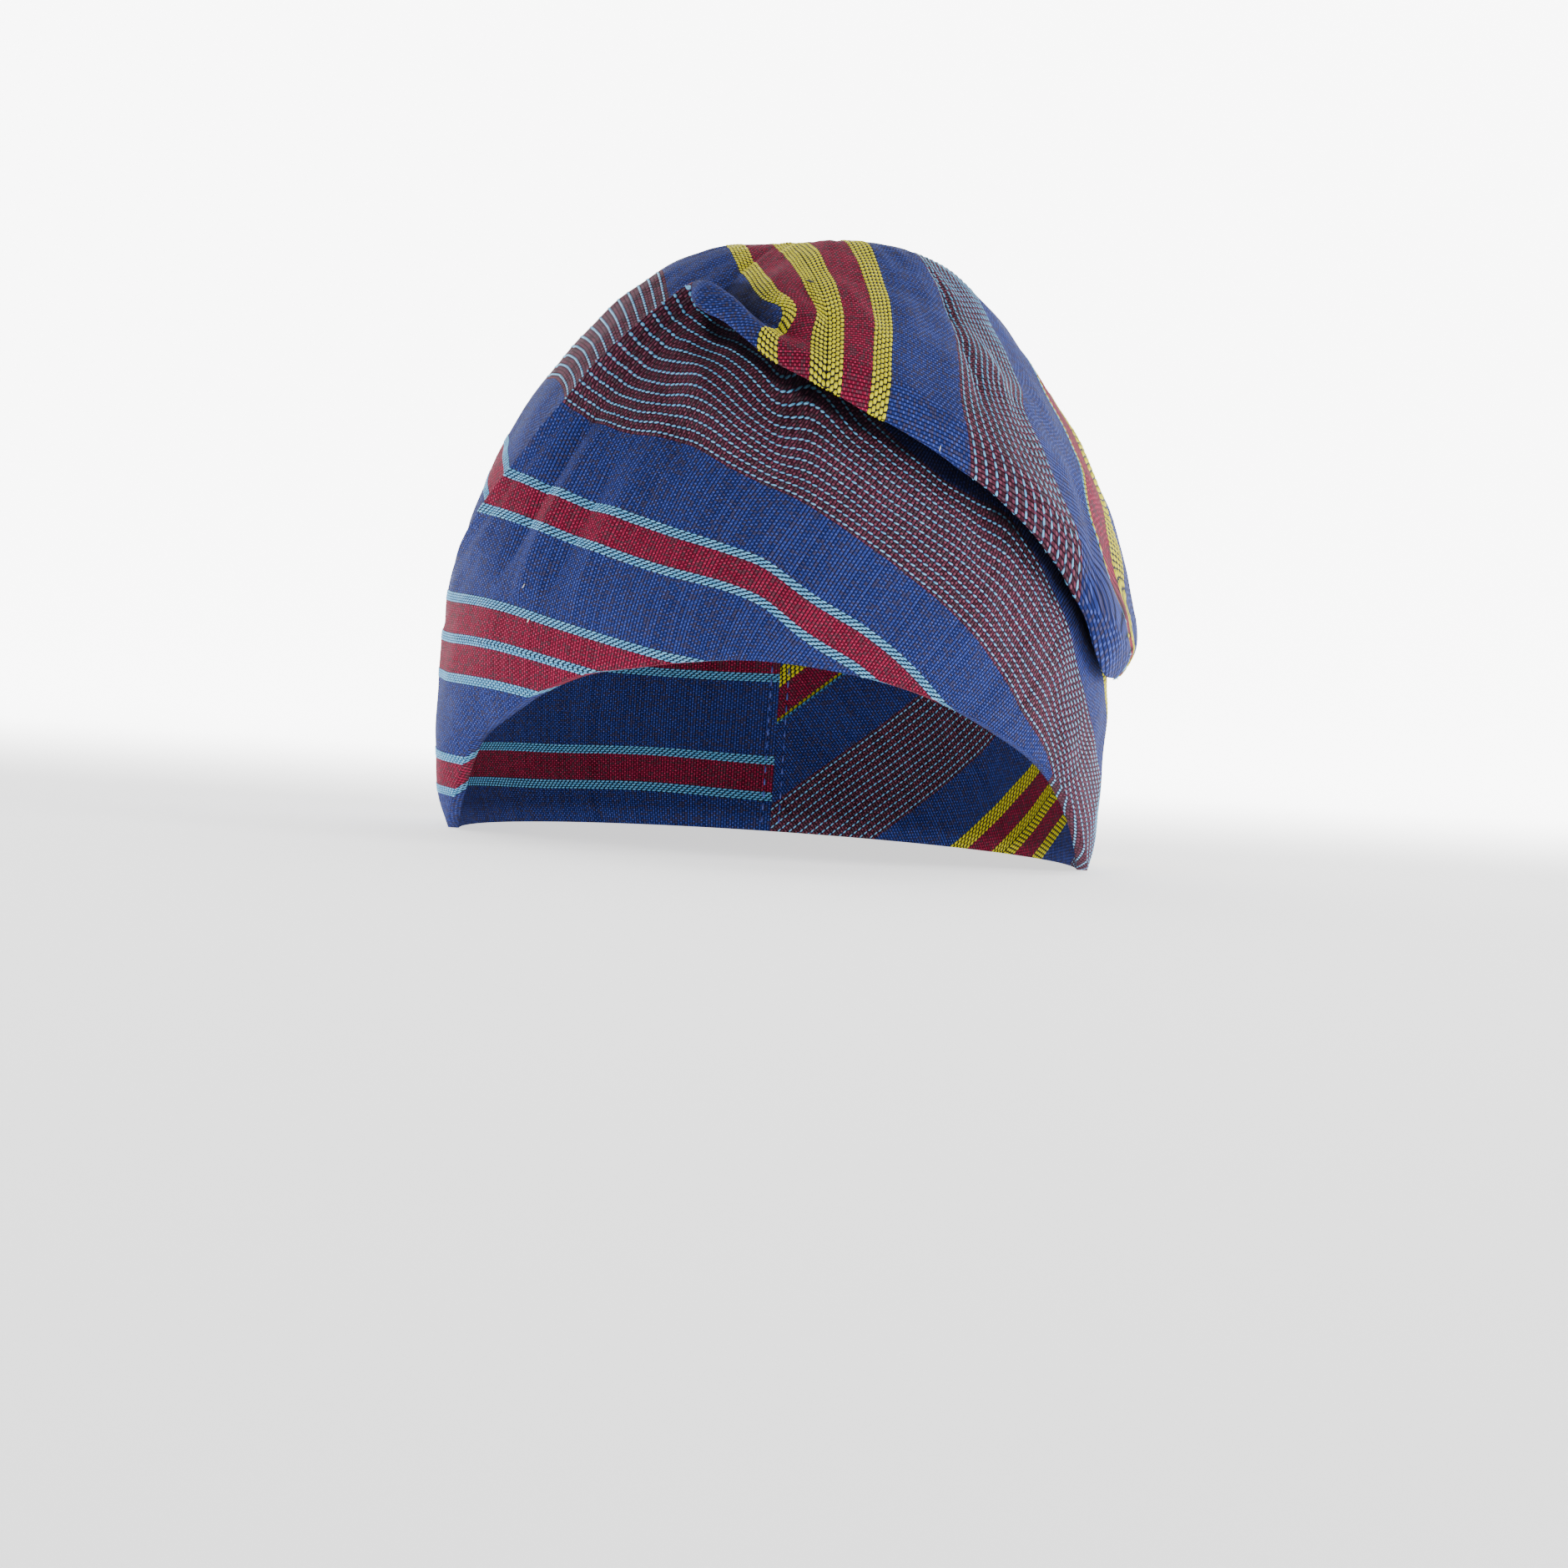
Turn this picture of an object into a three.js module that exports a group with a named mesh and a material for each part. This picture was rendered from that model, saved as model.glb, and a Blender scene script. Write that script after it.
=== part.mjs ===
// A soft fila cap: one bag of hand-woven striped cloth whose crown slouches over a slanting fold.
// Millimetres, +Z up. The forehead side faces -Y, and the cap rests on z = 0.
import * as THREE from "three";

// Head form that the cloth lies on
const headWidth = 156;
const headDepth = 194;
const wallHeight = 45;
const crownRise = 95;

// Length of cloth from the top of the wall to the middle of the crown
const crownCloth = 150;

// Rim: the arch over the forehead, and how far the cloth tucks in at the base
const rimArch = 46.5;
const baseTuck = 0.5;

// Fold: how far its parts stand off the head form, and how far they reach along the cloth
const foldProud = 12;
const foldReach = 20;

// Cloth
const clothThickness = 1.5;
const hemThickness = 2.6;
const hemHeight = 14;

// Looks
const clothColour = 0x27356b;
const clothRoughness = 0.9;

// A row for each place around the cap, 0 at the forehead and 90 at the wearer's left.
// line: height of the fold's lip, as a share of the cap's height.
// rim: height of the rim, as a share of rimArch.
// Names in Off: distance off the head form, as a share of foldProud.
// Names in Up: distance up the cloth from the lip, as a share of foldReach.
const columns = [
  "angle", "line", "rim", "wallOff", "pocketOff", "pocketUp", "lipOff", "rollOff", "rollUp",
  "grooveOff", "grooveUp", "footOff", "footUp", "crownOff", "topOff",
];
const places = [
  [-180, 0.47, 0, 0.2, 0.28, -0.25, 0.3, 0.31, 0.15, 0.31, 0.3, 0.31, 0.7, 0.4, 0.55],
  [-135, 0.46, 0, 0.26, 0.31, -0.25, 0.32, 0.32, 0.15, 0.32, 0.3, 0.31, 0.7, 0.4, 0.58],
  [-100, 0.43, 0, 0.32, 0.33, -0.25, 0.32, 0.31, 0.15, 0.3, 0.25, 0.29, 0.65, 0.36, 0.64],
  [-87, 0.438, 0, 0.31, 0.335, -0.27, 0.34, 0.33, 0.13, 0.285, 0.24, 0.255, 0.59, 0.33, 0.65],
  [-78, 0.463, 0.15, 0.3, 0.34, -0.28, 0.385, 0.34, 0.12, 0.25, 0.2, 0.21, 0.53, 0.3, 0.66],
  [-66, 0.543, 0.47, 0.3, 0.4, -0.35, 0.52, 0.35, 0.06, 0.08, -0.1, 0.08, 0.38, 0.28, 0.62],
  [-54, 0.671, 0.64, 0.24, 0.4, -0.35, 0.58, 0.36, 0.05, 0.04, -0.14, 0.06, 0.32, 0.28, 0.58],
  [-43, 0.795, 0.79, 0.17, 0.4, -0.3, 0.62, 0.4, 0.07, 0.03, -0.12, 0.08, 0.36, 0.32, 0.55],
  [-33, 0.873, 0.88, 0.12, 0.3, -0.2, 0.66, 0.66, 0.14, 0.1, 0.3, 0.22, 0.75, 0.42, 0.57],
  [-20, 0.843, 0.96, 0.07, 0.12, 0.25, 0.6, 0.76, 0.25, 0.24, 0.56, 0.42, 1, 0.46, 0.57],
  [-6, 0.786, 1, 0.03, 0.1, 0.5, 0.67, 0.85, 0.25, 0.52, 0.6, 0.65, 1.1, 0.54, 0.6],
  [8, 0.733, 0.98, 0.03, 0.1, 0.65, 0.71, 0.93, 0.2, 0.95, 0.45, 0.84, 1.1, 0.62, 0.68],
  [25, 0.662, 0.89, 0.03, 0.1, 0.7, 0.71, 0.97, 0.2, 1.04, 0.45, 0.88, 1.1, 0.66, 0.76],
  [42, 0.564, 0.71, 0.03, 0.1, 0.75, 0.67, 0.92, 0.2, 1, 0.45, 0.84, 1.1, 0.62, 0.84],
  [56, 0.46, 0.53, 0.05, 0.1, 0.8, 0.46, 0.77, 0.25, 0.84, 0.55, 0.75, 1.1, 0.54, 0.9],
  [68, 0.35, 0.3, 0.08, 0.08, 0.8, 0.34, 0.66, 0.3, 0.74, 0.65, 0.67, 1.2, 0.5, 0.92],
  [78, 0.336, 0.1, 0.1, 0.08, 0.8, 0.3, 0.65, 0.3, 0.72, 0.65, 0.63, 1.2, 0.5, 0.92],
  [87, 0.337, 0, 0.1, 0.08, 0.8, 0.31, 0.66, 0.3, 0.72, 0.65, 0.63, 1.2, 0.5, 0.9],
  [100, 0.343, 0, 0.1, 0.08, 0.75, 0.36, 0.7, 0.3, 0.74, 0.65, 0.62, 1.2, 0.5, 0.84],
  [125, 0.371, 0, 0.08, 0.08, 0.6, 0.48, 0.76, 0.25, 0.76, 0.5, 0.62, 1.05, 0.46, 0.7],
  [139, 0.4, 0, 0.08, 0.08, 0.1, 0.52, 0.68, 0.22, 0.66, 0.45, 0.54, 0.9, 0.44, 0.64],
  [150, 0.43, 0, 0.12, 0.18, -0.25, 0.42, 0.5, 0.2, 0.48, 0.4, 0.44, 0.8, 0.42, 0.6],
];

// Rows of the wall as shares of the way from rim to fold, and how much of wallOff each one has
const wallRows = [
  [0, 0], [0.2, 0.8], [0.5, 1], [0.75, 1], [1, 1],
];
const rimOff = 0.3;
const wallEase = 0.6;

// Rows of the crown as shares of the way from the fold to the middle, where poleOff holds
const crownRows = [0.4, 0.75];
const poleOff = 0.5;

// Shares of foldReach: gaps below the fold, and the length of the tuck's rounded turn
const wallGap = 0.45;
const shoulderGap = 0.22;
const turnReach = 0.1;

// Shares of foldProud: the width of the tuck's turn, and how far a creased groove bites in
const turnWidth = 0.2;
const creaseBite = 0.08;

// Shares of foldReach at which the tuck and the crease have their full round shape
const fullTuck = 0.4;
const fullCrease = 0.15;

// Longest reach of the inner face into a bend, in thicknesses
const mitreLimit = 1.5;

// Facets: steps between the control points up a place, and the angle of a step around the cap
const stepsUp = [2, 2, 2, 2, 2, 2, 2, 2, 2, 2, 3, 3, 2, 3, 4, 4, 5];
const stepAngle = 6;

const capHeight = wallHeight + crownRise;
const topClimb = wallHeight + crownCloth;
const quarter = Math.PI / 2;

// Value of a column at any angle: a smooth curve through the rows, joined into a ring.
function around(angle, column) {
  const c = columns.indexOf(column);
  const count = places.length;
  const knot = (i) => places[((i % count) + count) % count][0] + 360 * Math.floor(i / count);
  const value = (i) => places[((i % count) + count) % count][c];
  let i = count - 1;
  while (knot(i) > angle) i -= 1;
  const slope = (k) => {
    const before = knot(k) - knot(k - 1);
    const after = knot(k + 1) - knot(k);
    const rise = (value(k) - value(k - 1)) / before;
    const next = (value(k + 1) - value(k)) / after;
    return (rise * after + next * before) / (before + after);
  };
  const span = knot(i + 1) - knot(i);
  const t = (angle - knot(i)) / span;
  const blend = t * t * (3 - 2 * t);
  const lean = t * (1 - t) ** 2 * slope(i) - t * t * (1 - t) * slope(i + 1);
  return value(i) * (1 - blend) + value(i + 1) * blend + span * lean;
}

// Distance up the cloth at which the head form reaches a height.
function climbTo(height) {
  if (height < wallHeight) return height;
  const share = Math.min((height - wallHeight) / crownRise, 1);
  return wallHeight + (crownCloth * Math.asin(share)) / quarter;
}

// Point at a distance up the cloth and a distance off the head form.
function onHead(angle, climb, off) {
  const turn = THREE.MathUtils.degToRad(angle);
  const lean = THREE.MathUtils.clamp((climb - wallHeight) / crownCloth, 0, 1) * quarter;
  const low = Math.max(1 - climb / wallHeight, 0);
  const halfWidth = headWidth / 2 - baseTuck * low * low;
  const halfDepth = headDepth / 2 - baseTuck * low * low;
  const height = climb < wallHeight ? climb : wallHeight + crownRise * Math.sin(lean);
  const outward = new THREE.Vector3(
    (Math.cos(lean) * Math.sin(turn)) / headWidth,
    (-Math.cos(lean) * Math.cos(turn)) / headDepth,
    Math.sin(lean) / (2 * crownRise),
  ).normalize();
  return new THREE.Vector3(
    halfWidth * Math.cos(lean) * Math.sin(turn),
    -halfDepth * Math.cos(lean) * Math.cos(turn),
    height,
  ).addScaledVector(outward, off);
}

// Control points up the cloth at an angle: x is the climb and y the distance off the head form.
function profile(angle) {
  const at = (name) => around(angle, name);
  const off = (name) => at(name) * foldProud;
  const lip = climbTo(at("line") * capHeight);
  const up = (name) => lip + at(name) * foldReach;
  const tuck = THREE.MathUtils.clamp(at("pocketUp") / fullTuck, 0, 1);
  const crease = THREE.MathUtils.clamp((at("rollUp") - at("grooveUp")) / fullCrease, 0, 1);
  const rim = climbTo(Math.max(at("rim"), 0) * rimArch);
  const wallTop = lip + (Math.min(at("pocketUp"), 0) - wallGap) * foldReach;
  const pocket = up("pocketUp");
  const turn = turnReach * foldReach;
  const turnOff = off("pocketOff") + tuck * turnWidth * foldProud;
  const turnEnd = pocket + turn * (1 - 2 * tuck);
  const groove = up("grooveUp");
  const foot = up("footUp");
  const rise = THREE.MathUtils.lerp(off("grooveOff"), off("footOff"), 0.25);
  const wall = wallRows.map(([share, swell]) => {
    const ease = share > 0 ? wallEase : rimOff;
    return [rim + (wallTop - rim) * share, off("wallOff") * swell + ease];
  });
  const crown = crownRows.map((share) => foot + (topClimb - foot) * share);
  const points = [
    ...wall,
    [pocket - turn - shoulderGap * foldReach * (1 + tuck), (off("wallOff") + off("pocketOff")) / 2],
    [pocket - turn, off("pocketOff")],
    [pocket, (off("pocketOff") + turnOff) / 2],
    [turnEnd, turnOff],
    [(turnEnd + lip) / 2, (turnOff + off("lipOff")) / 2],
    [lip, off("lipOff")],
    [up("rollUp"), off("rollOff")],
    [groove, off("grooveOff")],
    [THREE.MathUtils.lerp(groove, foot, 0.25), rise - crease * creaseBite * foldProud],
    [foot, off("footOff")],
    [crown[0], off("crownOff")],
    [crown[1], off("topOff")],
    [topClimb, poleOff * foldProud],
    // The mirrored row keeps the curve level over the middle of the crown
    [2 * topClimb - crown[1], off("topOff")],
  ];
  return points.map(([x, y]) => new THREE.Vector3(x, y, 0));
}

// The same points moved in by the cloth's thickness, which is greater at the turned hem.
function innerProfile(points) {
  return points.map((point, i) => {
    const toHere = new THREE.Vector3().subVectors(point, points[i - 1] ?? point).normalize();
    const onward = new THREE.Vector3().subVectors(points[i + 1] ?? point, point).normalize();
    const along = toHere.add(onward);
    const hem = 1 - THREE.MathUtils.smoothstep(point.x - points[0].x, hemHeight / 2, hemHeight);
    const thickness = clothThickness + (hemThickness - clothThickness) * hem;
    const mitre = Math.min(2 / along.length(), mitreLimit);
    const inward = i === 0 ? new THREE.Vector3(0, -1, 0) : new THREE.Vector3(along.y, -along.x, 0);
    const reach = i === 0 || i === points.length - 1 ? thickness : thickness * mitre;
    return point.clone().addScaledVector(inward.normalize(), reach);
  });
}

// One face of the cloth at an angle, from the rim up to the middle of the crown.
function column(angle, points) {
  const curve = new THREE.CatmullRomCurve3(points);
  const spans = points.length - 1;
  const rows = stepsUp.flatMap((steps, span) => (
    Array.from({ length: steps }, (_, step) => (span + step / steps) / spans)
  ));
  rows.push((spans - 1) / spans);
  return rows.map((share) => {
    const point = curve.getPoint(share);
    return onHead(angle, point.x, point.y);
  });
}

// Angles around the cap: each gap between two rows of the table in even steps.
function stationAngles() {
  const angles = [];
  places.forEach(([angle], i) => {
    const next = i + 1 < places.length ? places[i + 1][0] : places[0][0] + 360;
    const steps = Math.round((next - angle) / stepAngle);
    for (let step = 0; step < steps; step += 1) angles.push(angle + ((next - angle) * step) / steps);
  });
  return angles;
}

// Closed skin through the outer and inner faces, joined by the rim's underside.
function clothSkin(outer, inner) {
  const count = outer.length;
  const rows = outer[0].length - 1;
  const positions = [];
  const push = (point) => positions.push(point.x, point.y, point.z) / 3 - 1;
  const outerIndex = outer.map((column) => column.slice(0, rows).map(push));
  const innerIndex = inner.map((column) => column.slice(0, rows).map(push));
  const outerPole = push(outer[0][rows]);
  const innerPole = push(inner[0][rows]);
  const index = [];
  for (let i = 0; i < count; i += 1) {
    const [a, b] = [outerIndex[i], outerIndex[(i + 1) % count]];
    const [c, d] = [innerIndex[i], innerIndex[(i + 1) % count]];
    for (let row = 0; row < rows - 1; row += 1) {
      index.push(a[row], b[row], b[row + 1], a[row], b[row + 1], a[row + 1]);
      index.push(c[row], d[row + 1], d[row], c[row], c[row + 1], d[row + 1]);
    }
    index.push(a[rows - 1], b[rows - 1], outerPole, d[rows - 1], c[rows - 1], innerPole);
    index.push(b[0], a[0], c[0], b[0], c[0], d[0]);
  }
  const geometry = new THREE.BufferGeometry();
  geometry.setAttribute("position", new THREE.Float32BufferAttribute(positions, 3));
  geometry.setIndex(index);
  return geometry;
}

// The cap's bag of cloth, centred over the origin and resting on z = 0.
function capBody() {
  const angles = stationAngles();
  const outer = angles.map((angle) => column(angle, profile(angle)));
  const inner = angles.map((angle) => column(angle, innerProfile(profile(angle))));
  const geometry = clothSkin(outer, inner);
  geometry.computeBoundingBox();
  const { min, max } = geometry.boundingBox;
  geometry.translate(-(min.x + max.x) / 2, -(min.y + max.y) / 2, -min.z);
  geometry.computeVertexNormals();
  const cloth = new THREE.MeshStandardMaterial({
    color: clothColour,
    roughness: clothRoughness,
    metalness: 0,
  });
  const mesh = new THREE.Mesh(geometry, cloth);
  mesh.name = "cap_body";
  return mesh;
}

const cap = new THREE.Group();
cap.add(capBody());

export default cap;
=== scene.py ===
"""Looks of a soft fila cap of hand-woven striped cloth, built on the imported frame.

The frame is in metres with +Z up, the forehead side facing -Y. The cloth's shape is worked out in
millimetres by the same curves as the CAD model, on a finer grid, and carries two coordinates:
stripe, the distance across the woven stripes, and thread, the distance along them.
"""
import functools
import math
from types import SimpleNamespace

import bpy
import numpy as np
from mathutils import Matrix, Vector


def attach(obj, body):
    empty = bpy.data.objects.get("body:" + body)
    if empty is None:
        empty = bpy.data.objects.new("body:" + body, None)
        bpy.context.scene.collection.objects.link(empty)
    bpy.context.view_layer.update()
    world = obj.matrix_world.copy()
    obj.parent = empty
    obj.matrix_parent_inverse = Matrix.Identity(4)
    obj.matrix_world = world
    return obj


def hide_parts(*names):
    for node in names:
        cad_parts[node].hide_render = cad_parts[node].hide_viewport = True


bl_info = {
    "name": "Striped fila cap",
    "version": (1, 0, 0),
    "blender": (4, 5, 0),
    "location": "View3D > Sidebar > Fila cap",
    "description": "Builds a soft striped cap and a studio around it",
    "category": "Object",
}

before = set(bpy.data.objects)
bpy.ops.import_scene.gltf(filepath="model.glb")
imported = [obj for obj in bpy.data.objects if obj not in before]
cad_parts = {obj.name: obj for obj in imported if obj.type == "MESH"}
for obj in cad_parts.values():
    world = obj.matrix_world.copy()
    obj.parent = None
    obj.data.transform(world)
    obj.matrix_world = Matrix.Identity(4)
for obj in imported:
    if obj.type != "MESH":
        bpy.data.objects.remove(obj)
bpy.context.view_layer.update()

MILLIMETRE = 0.001

# Millimetres of cloth across the whole of its texture square
UV_SPAN = 100.0

# Head form that the cloth lies on, in millimetres
HEAD_WIDTH = 156.0
HEAD_DEPTH = 194.0
WALL_HEIGHT = 45.0
CROWN_RISE = 95.0
CROWN_CLOTH = 150.0
RIM_ARCH = 46.5
BASE_TUCK = 0.5

# Fold and cloth, in millimetres
FOLD_PROUD = 12.0
FOLD_REACH = 20.0
CLOTH_THICKNESS = 1.5
HEM_THICKNESS = 2.6
HEM_HEIGHT = 14.0

# Move that centres the CAD model over the origin
CENTRE = np.array((-1.81, -1.34, 0.0))

# The shape's table: the CAD model's rows and columns, with the peak sharper and the lip beside it lower
COLUMNS = (
    "angle", "line", "rim", "wall_off", "pocket_off", "pocket_up", "lip_off", "roll_off",
    "roll_up", "groove_off", "groove_up", "foot_off", "foot_up", "crown_off", "top_off",
)
PLACES = np.array((
    (-180, 0.47, 0, 0.2, 0.28, -0.25, 0.3, 0.31, 0.15, 0.31, 0.3, 0.31, 0.7, 0.4, 0.55),
    (-135, 0.46, 0, 0.26, 0.31, -0.25, 0.32, 0.32, 0.15, 0.32, 0.3, 0.31, 0.7, 0.4, 0.58),
    (-100, 0.43, 0, 0.32, 0.33, -0.25, 0.32, 0.31, 0.15, 0.3, 0.25, 0.29, 0.65, 0.36, 0.64),
    (-87, 0.438, 0, 0.31, 0.335, -0.27, 0.34, 0.33, 0.13, 0.285, 0.24, 0.255, 0.59, 0.33, 0.65),
    (-78, 0.463, 0.15, 0.3, 0.34, -0.28, 0.385, 0.34, 0.12, 0.25, 0.2, 0.21, 0.53, 0.3, 0.66),
    (-66, 0.543, 0.47, 0.3, 0.4, -0.35, 0.52, 0.35, 0.06, 0.08, -0.1, 0.08, 0.38, 0.28, 0.62),
    (-54, 0.671, 0.64, 0.24, 0.4, -0.35, 0.58, 0.36, 0.05, 0.04, -0.14, 0.06, 0.32, 0.28, 0.58),
    (-43, 0.81, 0.79, 0.17, 0.4, -0.3, 0.72, 0.44, 0.07, -0.02, -0.12, 0.05, 0.36, 0.32, 0.55),
    (-34, 0.89, 0.88, 0.12, 0.3, -0.1, 0.8, 0.72, 0.15, 0, 0.25, 0.14, 0.72, 0.42, 0.57),
    (-28, 0.86, 0.91, 0.1, 0.08, 0.4, 0.86, 0.94, 0.34, 0.06, 0.66, 0.24, 1.05, 0.44, 0.57),
    (-18, 0.836, 0.96, 0.06, 0.06, 0.42, 0.76, 0.9, 0.33, 0.16, 0.68, 0.36, 1.08, 0.46, 0.57),
    (-6, 0.786, 1, 0.03, 0.1, 0.5, 0.67, 0.85, 0.25, 0.52, 0.6, 0.65, 1.1, 0.54, 0.6),
    (8, 0.733, 0.98, 0.03, 0.1, 0.65, 0.71, 0.93, 0.2, 0.95, 0.45, 0.84, 1.1, 0.62, 0.68),
    (25, 0.662, 0.89, 0.03, 0.1, 0.7, 0.71, 0.97, 0.2, 1.04, 0.45, 0.88, 1.1, 0.66, 0.76),
    (42, 0.564, 0.71, 0.03, 0.1, 0.75, 0.67, 0.92, 0.2, 1, 0.45, 0.84, 1.1, 0.62, 0.84),
    (56, 0.46, 0.53, 0.05, 0.1, 0.8, 0.46, 0.77, 0.25, 0.84, 0.55, 0.75, 1.1, 0.54, 0.9),
    (68, 0.35, 0.3, 0.08, 0.08, 0.8, 0.34, 0.66, 0.3, 0.74, 0.65, 0.67, 1.2, 0.5, 0.92),
    (78, 0.336, 0.1, 0.1, 0.08, 0.8, 0.3, 0.65, 0.3, 0.72, 0.65, 0.63, 1.2, 0.5, 0.92),
    (87, 0.337, 0, 0.1, 0.08, 0.8, 0.31, 0.66, 0.3, 0.72, 0.65, 0.63, 1.2, 0.5, 0.9),
    (100, 0.343, 0, 0.1, 0.08, 0.75, 0.36, 0.7, 0.3, 0.74, 0.65, 0.62, 1.2, 0.5, 0.84),
    (125, 0.371, 0, 0.08, 0.08, 0.6, 0.48, 0.76, 0.25, 0.76, 0.5, 0.62, 1.05, 0.46, 0.7),
    (139, 0.4, 0, 0.08, 0.08, 0.1, 0.52, 0.68, 0.22, 0.66, 0.45, 0.54, 0.9, 0.44, 0.64),
    (150, 0.43, 0, 0.12, 0.18, -0.25, 0.42, 0.5, 0.2, 0.48, 0.4, 0.44, 0.8, 0.42, 0.6),
))

# Soft folds pressed into the cloth: side of the fold, width and height, then angle and climb of the ends
WRINKLES = (
    ("wall", 2.2, -2.3, (-55, 64), (-45.5, 104)),
    ("wall", 2.4, 1.5, (-49.5, 58), (-40.5, 99)),
    ("wall", 2.4, -1.7, (-44, 56), (-35, 92)),
    ("wall", 2.6, 1.2, (-38, 54), (-29, 88)),
    ("wall", 3.2, 1.2, (-26, 121), (-12, 97)),
    ("wall", 3.0, -0.9, (-31, 114), (-20, 92)),
    ("wall", 3.5, -0.5, (-8, 108), (2, 86)),
    ("wall", 3.0, 0.5, (30, 80), (44, 42)),
    ("wall", 3.5, -0.6, (52, 52), (60, 18)),
    ("crown", 1.5, -1.3, (57, 156), (44, 132)),
    ("crown", 1.5, -1.3, (44, 132), (37, 107)),
    ("crown", 2.5, 0.8, (51, 128), (43.5, 104)),
    ("crown", 3.0, -0.7, (62, 98), (58, 70)),
    ("crown", 2.2, -0.8, (8, 126), (-2, 146)),
    ("crown", 2.6, 0.5, (18, 122), (12, 146)),
)

# Millimetres around the cap for each degree, as the soft folds are laid out
WRINKLE_ARC = 1.3

# Small crumples all over: waves around and up the cloth and their phase, and their height in mm
CRUMPLES = ((0.31, 0.11, 0.4), (-0.17, 0.23, 1.9), (0.09, 0.37, 3.1), (0.43, -0.19, 5.2))
CRUMPLE_HEIGHT = 0.11

# Dip of the cloth along the back seam, its width in degrees, and how near to it the cloth is calm
SEAM_DIP = 0.5
SEAM_HALF = 1.2
SEAM_CALM = 20.0

# Shares that shape the cloth's profile, with the CAD model's values
WALL_ROWS = ((0, 0), (0.2, 0.8), (0.5, 1), (0.75, 1), (1, 1))
RIM_OFF = 0.3
WALL_EASE = 0.6
CROWN_ROWS = (0.4, 0.75)
POLE_OFF = 0.5
WALL_GAP = 0.45
SHOULDER_GAP = 0.22
TURN_REACH = 0.1
TURN_WIDTH = 0.2
CREASE_BITE = 0.08
FULL_TUCK = 0.4
FULL_CREASE = 0.15
MITRE_LIMIT = 1.5
STEPS_UP = (2, 2, 2, 2, 2, 2, 2, 2, 2, 2, 3, 3, 2, 3, 4, 4, 5)

CAP_HEIGHT = WALL_HEIGHT + CROWN_RISE
TOP_CLIMB = WALL_HEIGHT + CROWN_CLOTH
QUARTER = math.pi / 2

# Stripe coordinate of the wall, in millimetres, at five heights of the cloth for each angle
WALL_CLIMBS = np.array((10.0, 45.0, 75.0, 105.0, 135.0))
WALL_STRIPES = np.array((
    (-180, -39, -4, 27, 55, 82),
    (-120, -39.5, -3.5, 27.5, 55, 82),
    (-76, -39, -1.5, 28.5, 55.5, 81),
    (-54, -36.5, -0.3, 30.7, 60, 81),
    (-36, -33, 3.8, 35.5, 64.5, 82),
    (-20, -29, 8, 40.5, 66, 85),
    (-9, -26, 11, 44.2, 72.5, 88),
    (-4, -21, 14.5, 46.3, 75.5, 89.5),
    (3, -13, 22.3, 51.3, 76, 87),
    (14, -3, 30.4, 59.3, 83, 91),
    (23, 6, 38.8, 66.5, 89, 98),
    (36, 21, 53, 76, 98, 118),
    (45, 37, 63, 81, 99, 119),
    (56, 48.4, 72.5, 93, 113, 133),
    (65, 60.5, 87.2, 109, 130, 151),
    (73, 68.5, 96.5, 119, 140, 161),
    (100, 96, 126, 148, 170, 192),
    (140, 140, 170, 192, 214, 236),
    (180, 180, 210, 232, 254, 276),
))

# Where the crown's stripe lines lie: degrees to the side, for each angle from the front to the back
CROWN_LINES = np.array((-5, 40, 59.2, 86.2, 103.2, 118.5, 134, 151, 178, 196, 203.5, 223))
CROWN_STRIPES = np.array((
    (20, -90, -52, -38, -17, -7, 4.6, 13.8, 33, 56, 80, 85, 90),
    (30, -90, -55, -40, -18, -6.5, 4.5, 13.8, 29, 51, 63, 71, 90),
    (40, -90, -57, -42, -19, -6.2, 4.2, 13.9, 25.8, 45.2, 56.5, 64, 90),
    (48, -90, -58, -43, -20, -6, 4, 14.1, 25.5, 40.2, 55, 63, 90),
    (52, -90, -58, -43, -20, -3.2, 3.8, 14.2, 25.5, 38.7, 54.5, 62.5, 90),
    (60, -90, -58.5, -43.6, -21.8, -7.2, 2.2, 13.8, 25.3, 38.8, 53.5, 62, 90),
    (70, -90, -59, -45.5, -23.1, -10.2, -0.3, 12, 22.6, 35, 48.5, 58, 90),
    (80, -90, -59, -48, -23.8, -12.6, -2.8, 9.5, 18, 29, 41, 50, 90),
    (90, -90, -59, -49, -24.5, -14, -5, 6, 16, 27, 38, 46, 90),
    (180, -90, -59, -46, -24, -12, -2, 8, 20, 38, 52, 58, 90),
))
CROWN_HALF = np.array((83.0, 102.0, 100.0))

# Rows between which the wall's stripes give way to the crown's, in an open groove and in a tuck
OPEN_CHANGE = (10.5, 13.0)
TUCK_CHANGE = (6.6, 8.0)

# Stations of the fold's pocket and lip, and of the groove behind the crest
POCKET = 7
LIP = 10
GROOVE = (11.4, 14.06)

# Depth of the groove's shade, and the stations over which it fades
GROOVE_SHADE = 0.85
GROOVE_FADE = 0.07

# How far below the lip the fold's shade starts in front and at the side, in mm, the angles between
# which that changes, and how far it takes to fade in, in mm
SHADE_BELOW = 0.8
SHADE_BESIDE = -2.8
SHADE_ANGLES = (20, 50)
SHADE_FADE = 3.0

# Shade in which no float is laid, and how much the shade darkens the cloth
HIDDEN = 0.97
SHADE_DEPTH = 0.8

# How far the stripes wander from their true lines, in millimetres
WANDER = 0.15

# Hold between the wall's cloth and the crown's inside the fold, as a share of the hold elsewhere
LOOSE = 0.002

# Hold of the crown's hidden back, as a share of its front's, and how far back it is reached, in mm
BACK_HOLD = 0.02
BACK_FADE = 40.0

# Makes up for the thread coordinate's slope, which comes out a little under one
THREAD_EASE = 1.12

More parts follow.
